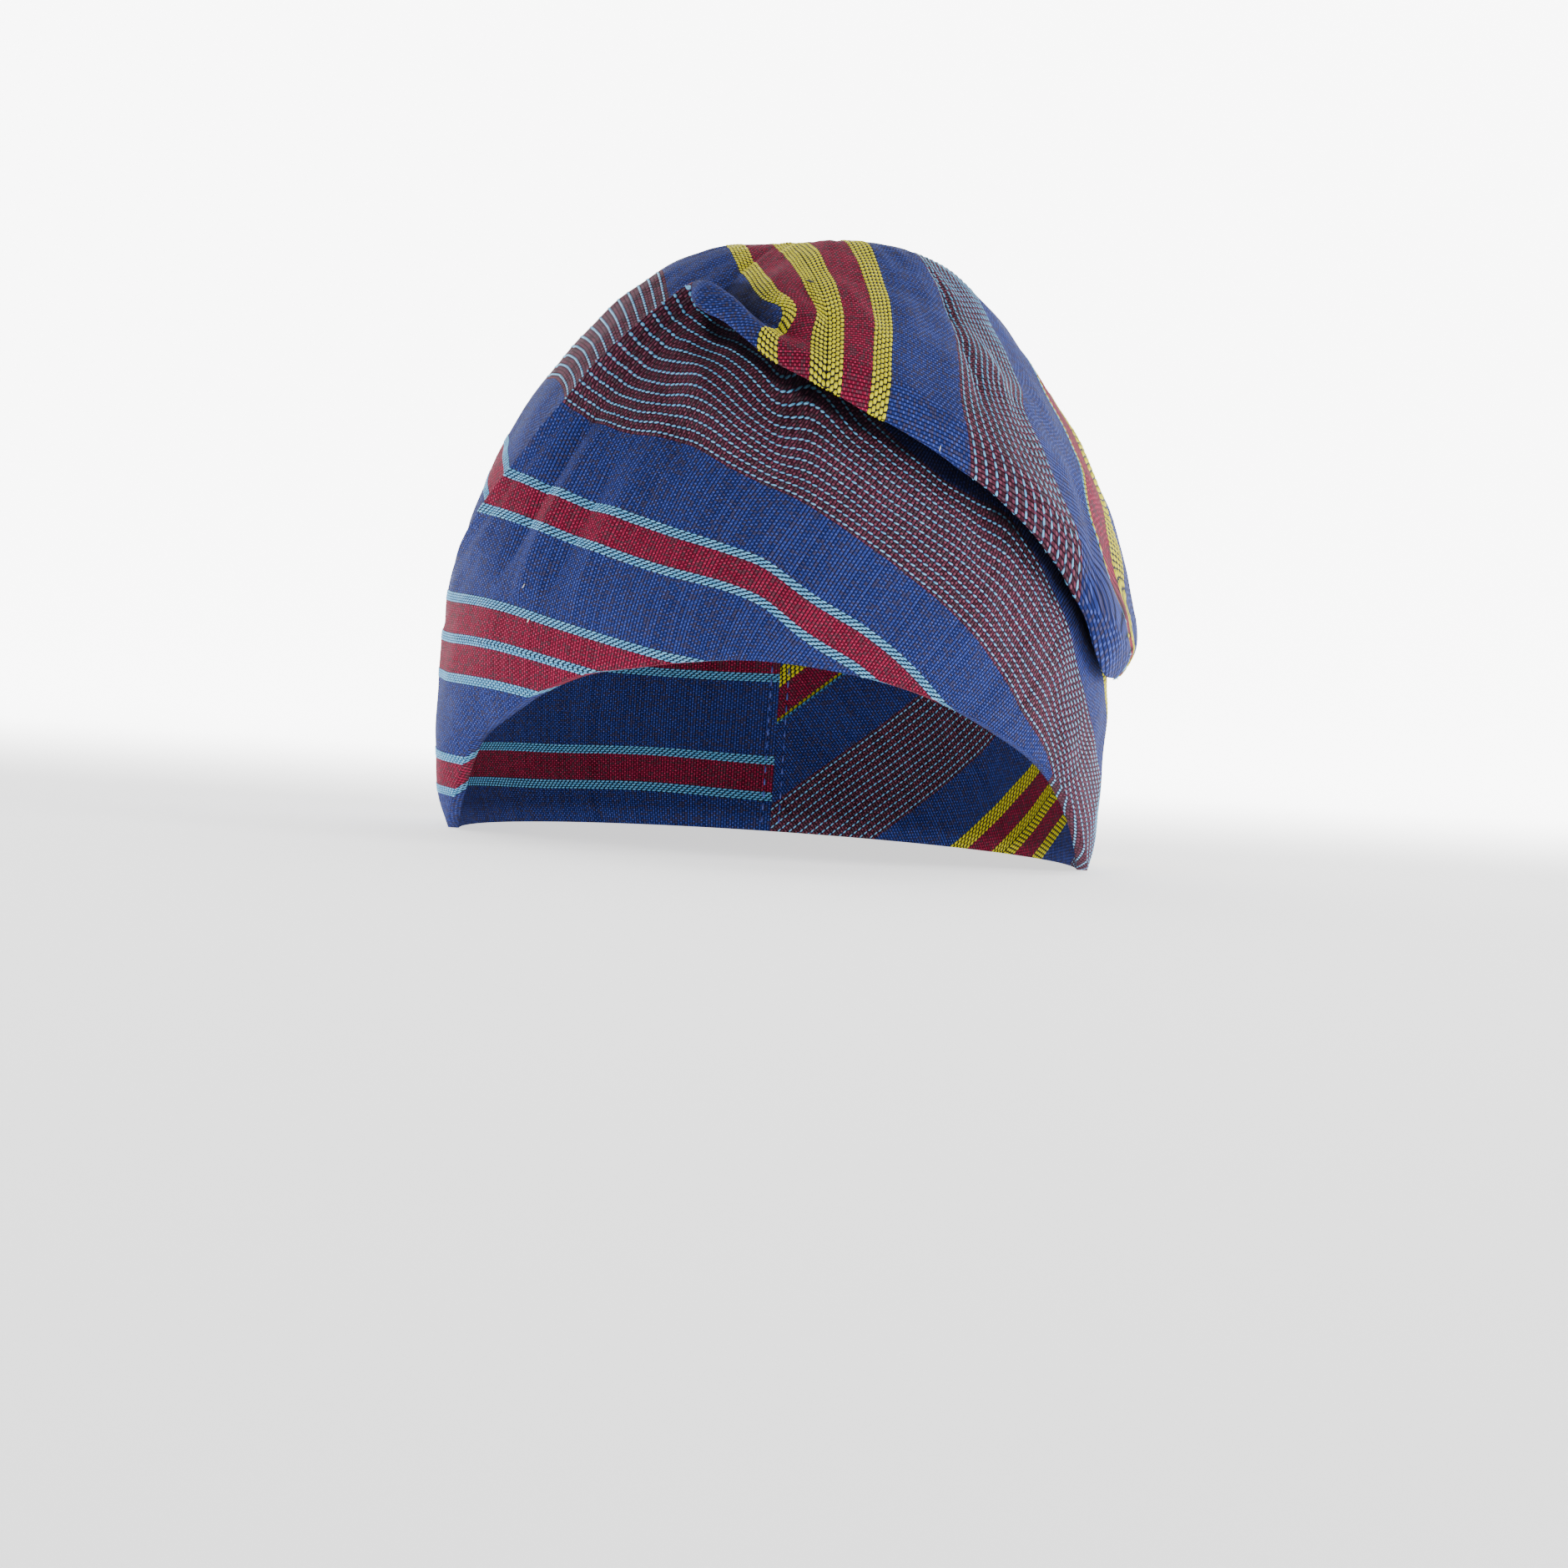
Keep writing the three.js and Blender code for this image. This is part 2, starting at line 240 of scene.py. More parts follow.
# Strips of cloth: where they are sewn together, and how the pattern runs on across a seam
STRIP_WIDTH = 118.3
CUT_SEAM = 196.0
CUT_SHIFT = 74.7

# Bands across a strip, in millimetres from its light blue seam
BANDS = (
    (0.0, "light"),
    (1.15, "crimson"),
    (8.3, "light"),
    (10.6, "blue"),
    (29.6, "light"),
    (31.9, "crimson"),
    (38.9, "light"),
    (41.2, "blue"),
    (59.2, "maroon"),
    (86.2, "blue"),
    (103.2, "yellow"),
    (107.8, "crimson"),
    (114.6, "yellow"),
)

# Screen tones of the threads for painted light and shade: shaded, lit, and a painted highlight on a raised
# thread's top
TONES = {
    "blue": ((20, 28, 76), (62, 78, 160), (112, 128, 214)),
    "crimson": ((78, 10, 30), (170, 38, 76), (228, 92, 130)),
    "maroon": ((38, 14, 24), (116, 60, 80), (166, 108, 126)),
    "light": ((14, 50, 92), (80, 166, 222), (144, 214, 248)),
    "yellow": ((92, 84, 0), (214, 204, 0), (246, 238, 20)),
    "lint": ((150, 150, 150), (210, 208, 204), (245, 244, 240)),
    "slub": ((20, 20, 26), (44, 44, 52), (84, 82, 86)),
}

# Screen tones of single weft threads, of painted shade in thread gaps and the fold, also of sewn lines, and
# of ground under floats
WEFT_TONE = (70, 62, 70)
SHADE_AND_SEAM_TONE = (14, 12, 24)
UNDER_TONE = (52, 52, 66)

# Weave: how far a thread drops going under, its painted light and painted highlight, random mottling, and
# where the weft's tone shows
UNDER_DROP = 0.75
RISE_PAINTED_LIGHT = 0.85
CLOUD_LIGHT = 0.4
CLOUD_SCALE = 0.04
ROW_LIGHT = 0.4
TOP_PAINTED_HIGHLIGHT = 0.6
WEFT_CHANCE = 0.72
WEFT_SHARE = 0.75

# Painted dash under a float and under a pinstripe's float: slant, and fall across and along it
FLOAT_DASH = (0.35, 1.15, 1.25)
PIN_DASH = (0.3, 1.0, 1.5)

# Widths of the sewn lines: at a strip's light blue edge, at its yellow edge, and half of the cut seam's
SEWN_LIGHT = 0.3
SEWN_YELLOW = 0.35
SEWN_CUT = 0.45

# Depth of the fine relief of the weave and of a float's fibres, in metres, and the fibres' fineness
WEAVE_RELIEF = 0.00035
FIBRE_RELIEF = 0.0002
FIBRE_SCALE = 2600.0

# Widths of one lane of floats in the light blue and yellow bands, where the pinstripes start, their
# pitch and their width, in millimetres
LIGHT_LANE = 0.575
YELLOW_LANE = 0.92
PIN_START = 59.2
PIN_PITCH = 27.0 / 13
PIN_LANE = 0.54

# How far each lane of floats, and each pinstripe, is shifted along from the one before, in beats
LANE_SHIFT = 0.46
PIN_SHIFT = 0.37

# Slant of a float against its lane, the spread of its length, and the seed of all random draws
FLOAT_SLANT = 0.26
FLOAT_SPREAD = 0.12
SEED = 7

# Height over the floor under which the rim carries no float, in millimetres
FLOAT_CLEARANCE = 0.6

# Specks on the cloth: angle around, station up the cloth and degrees that each is turned by, and how
# far their middles lie off the cloth, in millimetres
LINT = ((-47.3, 1.75, 20), (-46.1, 1.2, 30), (25.2, 10.3, 90))
SLUB = ((2.0, 14.56, 5),)
SPECK_LIFT = 0.15

# Stitches beside the back seam: how far aside and up the cloth, in mm, and their pitch in stitches
SEAM_ASIDE = 2.2
SEAM_LENGTH = 120.0
STITCH_PITCH = 1.35

# Least and greatest stretch of a float where the cloth's own coordinates are pinched or pulled
STRETCH_LIMITS = (0.6, 1.5)

# Studio paper, in metres: half its width, its front edge, where it starts to bend up, the bend and its top
PAPER_HALF = 3.0
PAPER_FRONT = -2.5
PAPER_BEND = 0.6
PAPER_RADIUS = 0.8
PAPER_TOP = 3.5
PAPER_STEPS = 12

# Glow of the paper near the cap and behind it, and its strength
NEAR_GLOW = (0.17, 0.17, 0.17, 1.0)
FAR_GLOW = (1.0, 1.0, 1.0, 1.0)
GLOW_STRENGTH = 7.0
SKY_STRENGTH = 0.1

# Soft lights: name, place and aim in metres, width in metres and power in watts
LIGHTS = (
    ("right", (1.25, -0.3, 0.6), (0, 0, 0.07), 0.6, 16),
    ("left", (-1.2, -0.5, 0.3), (0, 0, 0.06), 0.6, 4.5),
    ("front", (-0.5, -1.25, 1.3), (0, 0, 0.06), 0.5, 8),
    ("top", (0.3, 0.4, 1.4), (0, 0, 0.05), 0.5, 3),
)

# Point that the camera looks at, in millimetres
CAMERA_AIM = (1.09, -1.34, 15.8)


def smooth_through(knots, values, places):
    """Smooth curve through values at knots, straight beyond the ends; values may be one row a place."""
    step = np.diff(knots)
    rise = np.diff(values, axis=-1) / step
    inner = (rise[..., :-1] * step[1:] + rise[..., 1:] * step[:-1]) / (step[:-1] + step[1:])
    slope = np.concatenate((rise[..., :1], inner, rise[..., -1:]), axis=-1)
    i = np.clip(np.searchsorted(knots, places, side="right") - 1, 0, len(step) - 1)
    span = step[i]
    t = np.clip((places - knots[i]) / span, 0, 1)

    def pick(rows, index):
        return rows[index] if rows.ndim == 1 else np.take_along_axis(rows, index, axis=-1)

    blend = t * t * (3 - 2 * t)
    lean = t * (1 - t) ** 2 * pick(slope, i) - t * t * (1 - t) * pick(slope, i + 1)
    result = pick(values, i) * (1 - blend) + pick(values, i + 1) * blend + span * lean
    below = np.minimum(places - knots[0], 0) * slope[..., :1]
    above = np.maximum(places - knots[-1], 0) * slope[..., -1:]
    return result + below + above


def around(angles, column):
    """Value of a column of the shape's table at any angles, joined into a ring."""
    knots = PLACES[:, 0]
    values = PLACES[:, COLUMNS.index(column)]
    ring = np.concatenate((knots[-2:] - 360, knots, knots[:3] + 360))
    return smooth_through(ring, np.concatenate((values[-2:], values, values[:3])), angles)


def climb_to(height):
    """Distance up the cloth at which the head form reaches a height."""
    share = np.clip((height - WALL_HEIGHT) / CROWN_RISE, 0, 1)
    dome = WALL_HEIGHT + CROWN_CLOTH * np.arcsin(share) / QUARTER
    return np.where(height < WALL_HEIGHT, height, dome)


def on_head(angle, climb, off):
    """Points at distances up the cloth and off the head form."""
    turn = np.radians(angle)
    lean = np.clip((climb - WALL_HEIGHT) / CROWN_CLOTH, 0, 1) * QUARTER
    low = np.maximum(1 - climb / WALL_HEIGHT, 0)
    half_width = HEAD_WIDTH / 2 - BASE_TUCK * low * low
    half_depth = HEAD_DEPTH / 2 - BASE_TUCK * low * low
    height = np.where(climb < WALL_HEIGHT, climb, WALL_HEIGHT + CROWN_RISE * np.sin(lean))
    outward = np.stack((
        np.cos(lean) * np.sin(turn) / HEAD_WIDTH,
        -np.cos(lean) * np.cos(turn) / HEAD_DEPTH,
        np.sin(lean) / (2 * CROWN_RISE),
    ), axis=-1)
    outward /= np.linalg.norm(outward, axis=-1, keepdims=True)
    base = np.stack((
        half_width * np.cos(lean) * np.sin(turn),
        -half_depth * np.cos(lean) * np.cos(turn),
        height,
    ), axis=-1)
    return base + outward * off[..., None]


def profile(angles):
    """Control points up the cloth, as distances up it and off the head form, for each angle."""
    at = {name: around(angles, name) for name in COLUMNS[1:]}
    off = {name: value * FOLD_PROUD for name, value in at.items() if name.endswith("_off")}
    lip = climb_to(at["line"] * CAP_HEIGHT)
    up = {name: lip + value * FOLD_REACH for name, value in at.items() if name.endswith("_up")}
    tuck = np.clip(at["pocket_up"] / FULL_TUCK, 0, 1)
    crease = np.clip((at["roll_up"] - at["groove_up"]) / FULL_CREASE, 0, 1)
    rim = climb_to(np.maximum(at["rim"], 0) * RIM_ARCH)
    wall_top = lip + (np.minimum(at["pocket_up"], 0) - WALL_GAP) * FOLD_REACH
    pocket = up["pocket_up"]
    turn = TURN_REACH * FOLD_REACH
    turn_off = off["pocket_off"] + tuck * TURN_WIDTH * FOLD_PROUD
    turn_end = pocket + turn * (1 - 2 * tuck)
    groove = up["groove_up"]
    foot = up["foot_up"]
    rise = off["groove_off"] + 0.25 * (off["foot_off"] - off["groove_off"])
    shoulder = pocket - turn - SHOULDER_GAP * FOLD_REACH * (1 + tuck)
    level = np.ones_like(angles)
    crown = [foot + (TOP_CLIMB - foot) * share for share in CROWN_ROWS]
    points = [
        (rim + (wall_top - rim) * share, off["wall_off"] * swell + (WALL_EASE if share > 0 else RIM_OFF))
        for share, swell in WALL_ROWS
    ]
    points += [
        (shoulder, (off["wall_off"] + off["pocket_off"]) / 2),
        (pocket - turn, off["pocket_off"]),
        (pocket, (off["pocket_off"] + turn_off) / 2),
        (turn_end, turn_off),
        ((turn_end + lip) / 2, (turn_off + off["lip_off"]) / 2),
        (lip, off["lip_off"]),
        (up["roll_up"], off["roll_off"]),
        (groove, off["groove_off"]),
        (groove + 0.25 * (foot - groove), rise - crease * CREASE_BITE * FOLD_PROUD),
        (foot, off["foot_off"]),
        (crown[0], off["crown_off"]),
        (crown[1], off["top_off"]),
        (TOP_CLIMB * level, POLE_OFF * FOLD_PROUD * level),
        (2 * TOP_CLIMB - crown[1], off["top_off"]),
    ]
    return np.stack([np.stack(pair, axis=-1) for pair in points], axis=1)


def unit(vectors):
    """Vectors with their length made one."""
    return vectors / np.maximum(np.linalg.norm(vectors, axis=-1, keepdims=True), 1e-9)


def wrinkles(angles, stations, climbs):
    """Height of the cloth's soft folds and small crumples, in millimetres, over a grid."""
    height = np.zeros_like(climbs)
    angle = np.broadcast_to(angles[:, None], climbs.shape)
    station = np.broadcast_to(stations[None, :], climbs.shape)
    for side, width, rise, start, end in WRINKLES:
        start = np.array(start) * (WRINKLE_ARC, 1)
        way = np.array(end) * (WRINKLE_ARC, 1) - start
        place = np.stack((angle * WRINKLE_ARC, climbs), axis=-1) - start
        share = (place @ way) / (way @ way)
        apart = np.linalg.norm(place - np.clip(share, 0.0, 1.0)[..., None] * way, axis=-1)
        taper = np.clip(np.minimum(share + 0.25, 1.25 - share) / 0.5, 0, 1)
        here = station < POCKET if side == "wall" else station > LIP + 1
        height += rise * np.exp(-(apart / width) ** 2) * taper * here
    for across, up, phase in CRUMPLES:
        height += CRUMPLE_HEIGHT * np.sin(angle * WRINKLE_ARC * across + climbs * up + phase)
    calm = np.clip(station / 1.5, 0, 1) * np.clip((len(STEPS_UP) - station) / 1.5, 0, 1)
    aside = 180 - np.abs(angle)
    height *= np.clip(aside / SEAM_CALM, 0, 1)
    return (height - SEAM_DIP * np.exp(-(aside / SEAM_HALF) ** 2)) * calm


def inner_profile(points):
    """The same control points moved in by the cloth's thickness, more at the turned hem."""
    before = np.concatenate((points[:, :1], points[:, :-1]), axis=1)
    after = np.concatenate((points[:, 1:], points[:, -1:]), axis=1)
    along = unit(points - before) + unit(after - points)
    rise = points[..., 0] - points[:, :1, 0]
    share = np.clip((rise - HEM_HEIGHT / 2) / (HEM_HEIGHT / 2), 0, 1)
    hem = 1 - share * share * (3 - 2 * share)
    thickness = CLOTH_THICKNESS + (HEM_THICKNESS - CLOTH_THICKNESS) * hem
    mitre = np.minimum(2 / np.linalg.norm(along, axis=-1), MITRE_LIMIT)
    inward = unit(np.stack((along[..., 1], -along[..., 0]), axis=-1))
    inward[:, 0] = (0, -1)
    mitre[:, 0] = 1
    mitre[:, -1] = 1
    return points + inward * (thickness * mitre)[..., None]


def climb_curve(points, stations):
    """Points at stations of a centripetal curve through each angle's control points."""
    first = 2 * points[:, :1] - points[:, 1:2]
    last = 2 * points[:, -1:] - points[:, -2:-1]
    knots = np.concatenate((first, points, last), axis=1)
    gap = np.sqrt(np.linalg.norm(np.diff(knots, axis=1), axis=-1))[..., None]
    span = np.minimum(stations.astype(int), points.shape[1] - 2)
    w = (stations - span)[None, :, None]
    before, start, end, after = (knots[:, span + k] for k in range(4))
    gap_in, gap_here, gap_out = (gap[:, span + k] for k in range(3))
    slope = (start - before) / gap_in - (end - before) / (gap_in + gap_here) + (end - start) / gap_here
    next_slope = (end - start) / gap_here - (after - start) / (gap_here + gap_out) + (after - end) / gap_out
    slope = slope * gap_here
    next_slope = next_slope * gap_here
    square = -3 * start + 3 * end - 2 * slope - next_slope
    cube = 2 * start - 2 * end + slope + next_slope
    return start + w * (slope + w * (square + w * cube))


def row_stations(finer):
    """Stations of the rows up the cloth, each of the CAD model's steps split into finer ones."""
    rows = [
        span + step / (steps * finer)
        for span, steps in enumerate(STEPS_UP)
        for step in range(steps * finer)
    ]
    return np.array(rows + [len(STEPS_UP)], dtype=float)


def wall_stripe(angles, climbs):
    """Stripe coordinate of the wall's cloth, for a grid of angles by rows."""
    knots = WALL_STRIPES[:, 0]
    at_climbs = [smooth_through(knots, WALL_STRIPES[:, c + 1], angles) for c in range(len(WALL_CLIMBS))]
    return smooth_through(WALL_CLIMBS, np.stack(at_climbs, axis=-1), climbs)


def crown_stripe(points):
    """Stripe coordinate of the crown's cloth at points in space."""
    share = (points - (0, 0, WALL_HEIGHT)) / CROWN_HALF
    share /= np.linalg.norm(share, axis=-1, keepdims=True)
    side = np.degrees(np.arcsin(np.clip(share[..., 0], -1, 1)))
    over = np.degrees(np.arctan2(share[..., 2], -share[..., 1]))
    over = np.where(over < -90, over + 360, over)
    knots = CROWN_STRIPES[:, 0]
    over = np.clip(over, knots[0], knots[-1])
    lines = [smooth_through(knots, CROWN_STRIPES[:, c + 1], over) for c in range(len(CROWN_LINES))]
    lines = np.stack(lines, axis=-1)
    i = np.clip((lines <= side[..., None]).sum(axis=-1) - 1, 0, len(CROWN_LINES) - 2)
    low = np.take_along_axis(lines, i[..., None], axis=-1)[..., 0]
    high = np.take_along_axis(lines, i[..., None] + 1, axis=-1)[..., 0]
    t = np.clip((side - low) / np.maximum(high - low, 1e-3), 0, 1)
    return CROWN_LINES[i] + (CROWN_LINES[i + 1] - CROWN_LINES[i]) * t


def stripe_field(angles, stations, climbs, points):
    """Stripe coordinate everywhere, and the crown's share in it: none below the fold, all above."""
    tuck = np.clip(around(angles, "pocket_up") / FULL_TUCK, 0, 1)[:, None]
    start = OPEN_CHANGE[0] + (TUCK_CHANGE[0] - OPEN_CHANGE[0]) * tuck
    end = OPEN_CHANGE[1] + (TUCK_CHANGE[1] - OPEN_CHANGE[1]) * tuck
    share = np.clip((stations[None, :] - start) / (end - start), 0, 1)
    share = share * share * (3 - 2 * share)
    stripe = wall_stripe(angles, climbs) * (1 - share) + crown_stripe(points) * share
    x, y, z = np.moveaxis(points, -1, 0)
    wander = np.sin(0.11 * x + 0.07 * z + 1) + np.sin(0.05 * x - 0.13 * z + 0.09 * y)
    return stripe + WANDER * wander, share


def fold_shade(angles, stations, climbs):
    """How deep the cloth lies in the shade of the fold, from 0 outside it to 1 inside."""
    lip = climb_to(around(angles, "line") * CAP_HEIGHT)[:, None]
    tuck = np.clip(around(angles, "pocket_up") / FULL_TUCK, 0, 1)[:, None]
    below = np.interp(angles, SHADE_ANGLES, (SHADE_BELOW, SHADE_BESIDE))[:, None]
    inward = np.where(stations[None, :] < POCKET, below, 0.0)
    depth = np.clip((climbs - lip + inward) / SHADE_FADE, 0, 1)
    inside = stations[None, :] < LIP
    drop = around(angles, "lip_off") - around(angles, "groove_off")
    past = np.maximum(np.maximum(GROOVE[0] - stations, stations - GROOVE[1]), 0)
    behind = np.exp(-(past[None, :] / GROOVE_FADE) ** 2)
    groove = GROOVE_SHADE * np.clip((drop - 0.1) / 0.4, 0, 1)[:, None] * behind
    return np.maximum(depth * depth * (3 - 2 * depth) * tuck * inside, groove)


def grid_triangles(columns, rows):
    """Triangles of a grid of vertices, columns by rows, facing outwards."""
    index = np.arange(columns * rows).reshape(columns, rows)
    a, b = index[:-1, :-1].ravel(), index[1:, :-1].ravel()
    c, d = index[1:, 1:].ravel(), index[:-1, 1:].ravel()
    return np.concatenate((np.stack((a, b, c), axis=1), np.stack((a, c, d), axis=1)))


def thread_field(points, stripe, share, rounds=700):
    """Coordinate along the stripes whose slope is as near as can be to one, square to the stripe's.

    The wall's cloth and the crown's hang together only loosely, inside the fold, and the crown's
    back gives way before its front.
    """
    columns, rows = stripe.shape
    triangles = grid_triangles(columns, rows)
    corner = points.reshape(-1, 3)[triangles]
    edges = np.stack([corner[:, (k + 2) % 3] - corner[:, (k + 1) % 3] for k in range(3)], axis=1)
    normal = np.cross(edges[:, 2], -edges[:, 1])
    double = np.linalg.norm(normal, axis=-1)
    keep = double > 1e-6
    triangles, edges, normal, double = triangles[keep], edges[keep], normal[keep], double[keep]
    normal /= double[:, None]
    hats = np.cross(normal[:, None], edges) / double[:, None, None]
    slope = np.einsum("tk,tkc->tc", stripe.ravel()[triangles], hats)
    steep = np.linalg.norm(slope, axis=-1)
    wanted = np.cross(normal, slope / np.maximum(steep, 1e-6)[:, None])
    changing = share.ravel()[triangles]
    split = changing.max(axis=1) - changing.min(axis=1) > 0.02
    back = np.clip(corner[keep][..., 1].mean(axis=1) / BACK_FADE, 0, 1)
    front = 1 - (1 - BACK_HOLD) * back * back * (3 - 2 * back)
    weight = double / 2 * np.where(split, LOOSE, np.where(changing.min(axis=1) > 0.5, front, 1))
    size = columns * rows
    pole = np.arange(columns) * rows + rows - 1
    owner = np.arange(size)
    owner[pole] = pole[0]
    corners = owner[triangles]

    def gather(vectors):
        parts = np.einsum("tkc,tc->tk", hats, vectors * weight[:, None])
        return np.bincount(corners.ravel(), parts.ravel(), size)

    def apply(field):
        return gather(np.einsum("tk,tkc->tc", field[corners], hats))

    diagonal = np.bincount(corners.ravel(), (weight[:, None] * (hats ** 2).sum(axis=-1)).ravel(), size)
    diagonal = np.where(diagonal > 0, diagonal, 1)
    thread = np.zeros(size)
    left = gather(wanted)
    ahead = left / diagonal
    step = ahead.copy()
    power = left @ ahead
    for _ in range(rounds):
        moved = apply(step)
        share = power / max(step @ moved, 1e-12)
        thread += share * step
        left -= share * moved
        ahead = left / diagonal
        fresh = left @ ahead
        step = ahead + step * (fresh / max(power, 1e-12))
        power = fresh
    return thread[owner].reshape(columns, rows)


def spread(field, columns, rows):
    """A field on a coarse grid spread evenly over a finer one."""
    for size in (columns, rows):
        places = np.linspace(0, len(field) - 1, size)
        low = np.minimum(places.astype(int), len(field) - 2)
        share = (places - low)[:, None]
        field = (field[low] * (1 - share) + field[low + 1] * share).T
    return field


@functools.lru_cache(maxsize=1)
def lay_cloth(columns, finer):
    """The cloth's grid of angles by stations: its points on both sides and the fields over them."""
    angles = np.linspace(-180, 180, columns + 1)
    stations = row_stations(finer)
    points = profile(angles)
    curve = climb_curve(points, stations)
    grid_angles = np.repeat(angles[:, None], len(stations), axis=1)
    height = wrinkles(angles, stations, curve[..., 0])
    outer = on_head(grid_angles, curve[..., 0], curve[..., 1] + height)
    stripe, share = stripe_field(angles, stations, curve[..., 0], outer)
    shade = fold_shade(angles, stations, curve[..., 0])
    bare = (share > 0.03) & (share < 0.97) | (shade > HIDDEN)
    coarse = slice(None, None, 2)
    thread = thread_field(outer[coarse, coarse], stripe[coarse, coarse], share[coarse, coarse])
    thread = spread(thread, *stripe.shape) * THREAD_EASE

    inner_stations = row_stations(1)
    curve = climb_curve(inner_profile(points), inner_stations)
    grid_angles = np.repeat(angles[:, None], len(inner_stations), axis=1)
    height = wrinkles(angles, inner_stations, curve[..., 0])
    inner = on_head(grid_angles, curve[..., 0], curve[..., 1] + height)
    return SimpleNamespace(
        stations=stations, inner_stations=inner_stations, outer=outer, inner=inner,
        stripe=stripe, thread=thread, shade=shade, bare=bare,
    )


def lanes(tone):
    """Lanes of a tone's floats: the stripe coordinate of each one's middle, and its shift in beats."""
    width, shift = {
        "light": (LIGHT_LANE, LANE_SHIFT),
        "yellow": (YELLOW_LANE, LANE_SHIFT),
        "maroon": (PIN_PITCH, PIN_SHIFT),
    }[tone]
    ends = [low for low, _ in BANDS[1:]] + [STRIP_WIDTH]
    found = []
    for (low, name), high in zip(BANDS, ends):
        count = round((high - low) / width) if name == tone else 0
        for k in range(count):
            middle = low + (k + 0.5) * width
            for strips in range(-2, 4, 2):
                for place in (strips * STRIP_WIDTH + middle, strips * STRIP_WIDTH - middle):
                    if place < CUT_SEAM:
                        found.append((place, k * shift))
                    if place + CUT_SHIFT > CUT_SEAM:
                        found.append((place + CUT_SHIFT, k * shift))
    return found


def float_places(tone, columns, finer, period):
    """Middles of a tone's floats on the cloth, with their ways along and outwards and their stretch."""
    laid = lay_cloth(columns, finer)
    triangles = grid_triangles(*laid.stripe.shape)
    corner = laid.outer.reshape(-1, 3)[triangles]
    level, pace = (field.ravel()[triangles] for field in (laid.stripe, laid.thread / period))
    normal = np.cross(corner[:, 1] - corner[:, 0], corner[:, 2] - corner[:, 0])
    keep = (np.linalg.norm(normal, axis=-1) > 1e-6) & ~laid.bare.ravel()[triangles].any(axis=1)
    corner, level, pace, normal = corner[keep], level[keep], pace[keep], unit(normal[keep])
    low, high = level.min(axis=1), level.max(axis=1)
    places = []
    for middle, shift in lanes(tone):
        here = np.flatnonzero((low <= middle) & (middle < high))
        at, beat, spots = level[here], pace[here] + shift - 0.5, corner[here]
        following = (1, 2, 0)
        crossed = (at <= middle) != (at[:, following] <= middle)
        share = (middle - at) / np.where(crossed, at[:, following] - at, 1)
        pick = np.argsort(~crossed, axis=1, kind="stable")[:, :2]
        rows = np.arange(len(here))[:, None]
        meet = (spots + share[..., None] * (spots[:, following] - spots))[rows, pick]
        tick = (beat + share * (beat[:, following] - beat))[rows, pick]
        turned = tick[:, 0] > tick[:, 1]
        meet[turned] = meet[turned][:, ::-1]
        tick[turned] = tick[turned][:, ::-1]
        run = np.maximum(tick[:, 1] - tick[:, 0], 1e-9)
        first = np.ceil(tick[:, 0])
        count = np.maximum(np.ceil(tick[:, 1]) - first, 0).astype(int)
        owner = np.repeat(np.arange(len(here)), count)
        order = np.arange(len(owner)) - np.repeat(np.cumsum(count) - count, count)
        part = ((first[owner] + order - tick[owner, 0]) / run[owner])[:, None]
        step = meet[:, 1] - meet[:, 0]
        stretch = np.linalg.norm(step, axis=-1) / run / period
        places.append(np.concatenate((
            meet[owner, 0] + part * step[owner],
            unit(step)[owner],
            normal[here][owner],
            np.clip(stretch, *STRETCH_LIMITS)[owner, None],
        ), axis=1))
    places = np.concatenate(places)
    return places[places[:, 2] > FLOAT_CLEARANCE]


def maths(kind):
    """Method that adds a Math node of a kind on a value and others, and gives back its result."""

    def method(self, *others):
        node = self.tree.nodes.new("ShaderNodeMath")
        node.operation = kind
        for slot, item in zip(node.inputs, (self, *others)):
            plug(self.tree, slot, item)
        return Value(self.tree, node.outputs[0])

    return method


class Value:
    """A node socket that takes part in Python arithmetic."""

    __add__ = __radd__ = maths("ADD")
    __sub__ = maths("SUBTRACT")
    __mul__ = __rmul__ = maths("MULTIPLY")
    __truediv__ = maths("DIVIDE")
    __gt__ = maths("GREATER_THAN")
    __lt__ = maths("LESS_THAN")
    floor = maths("FLOOR")
    fraction = maths("FRACT")
    away = maths("ABSOLUTE")
    to_and_fro = maths("PINGPONG")

    def __init__(self, tree, socket):
        self.tree = tree
        self.socket = socket

    def __rsub__(self, other):
        return self * -1 + other

    def ramp(self, low, high, start=0.0, end=1.0):
        """The value's place between low and high, smoothly, given out between start and end."""
        node = self.tree.nodes.new("ShaderNodeMapRange")
        node.interpolation_type = "SMOOTHSTEP"
        for slot, item in zip(node.inputs, (self, low, high, start, end)):
            plug(self.tree, slot, item)
        return Value(self.tree, node.outputs[0])


def plug(tree, slot, item):
    """Joins a value to a slot, or writes a plain number or colour into it."""
    if isinstance(item, Value):
        tree.links.new(item.socket, slot)
    else:
        slot.default_value = item


class Nodes:
    """A node tree, with a short way to add nodes to it."""

    def __init__(self, tree):
        self.tree = tree

    def add(self, kind, settings=None, **sockets):
        """A node of a kind with settings and sockets by name, given back as its outputs."""
        node = self.tree.nodes.new(kind)
        for name, item in (settings or {}).items():
            setattr(node, name, item)
        for name, item in sockets.items():
            plug(self.tree, node.inputs[name.replace("_", " ")], item)
        return {output.identifier: Value(self.tree, output) for output in node.outputs}


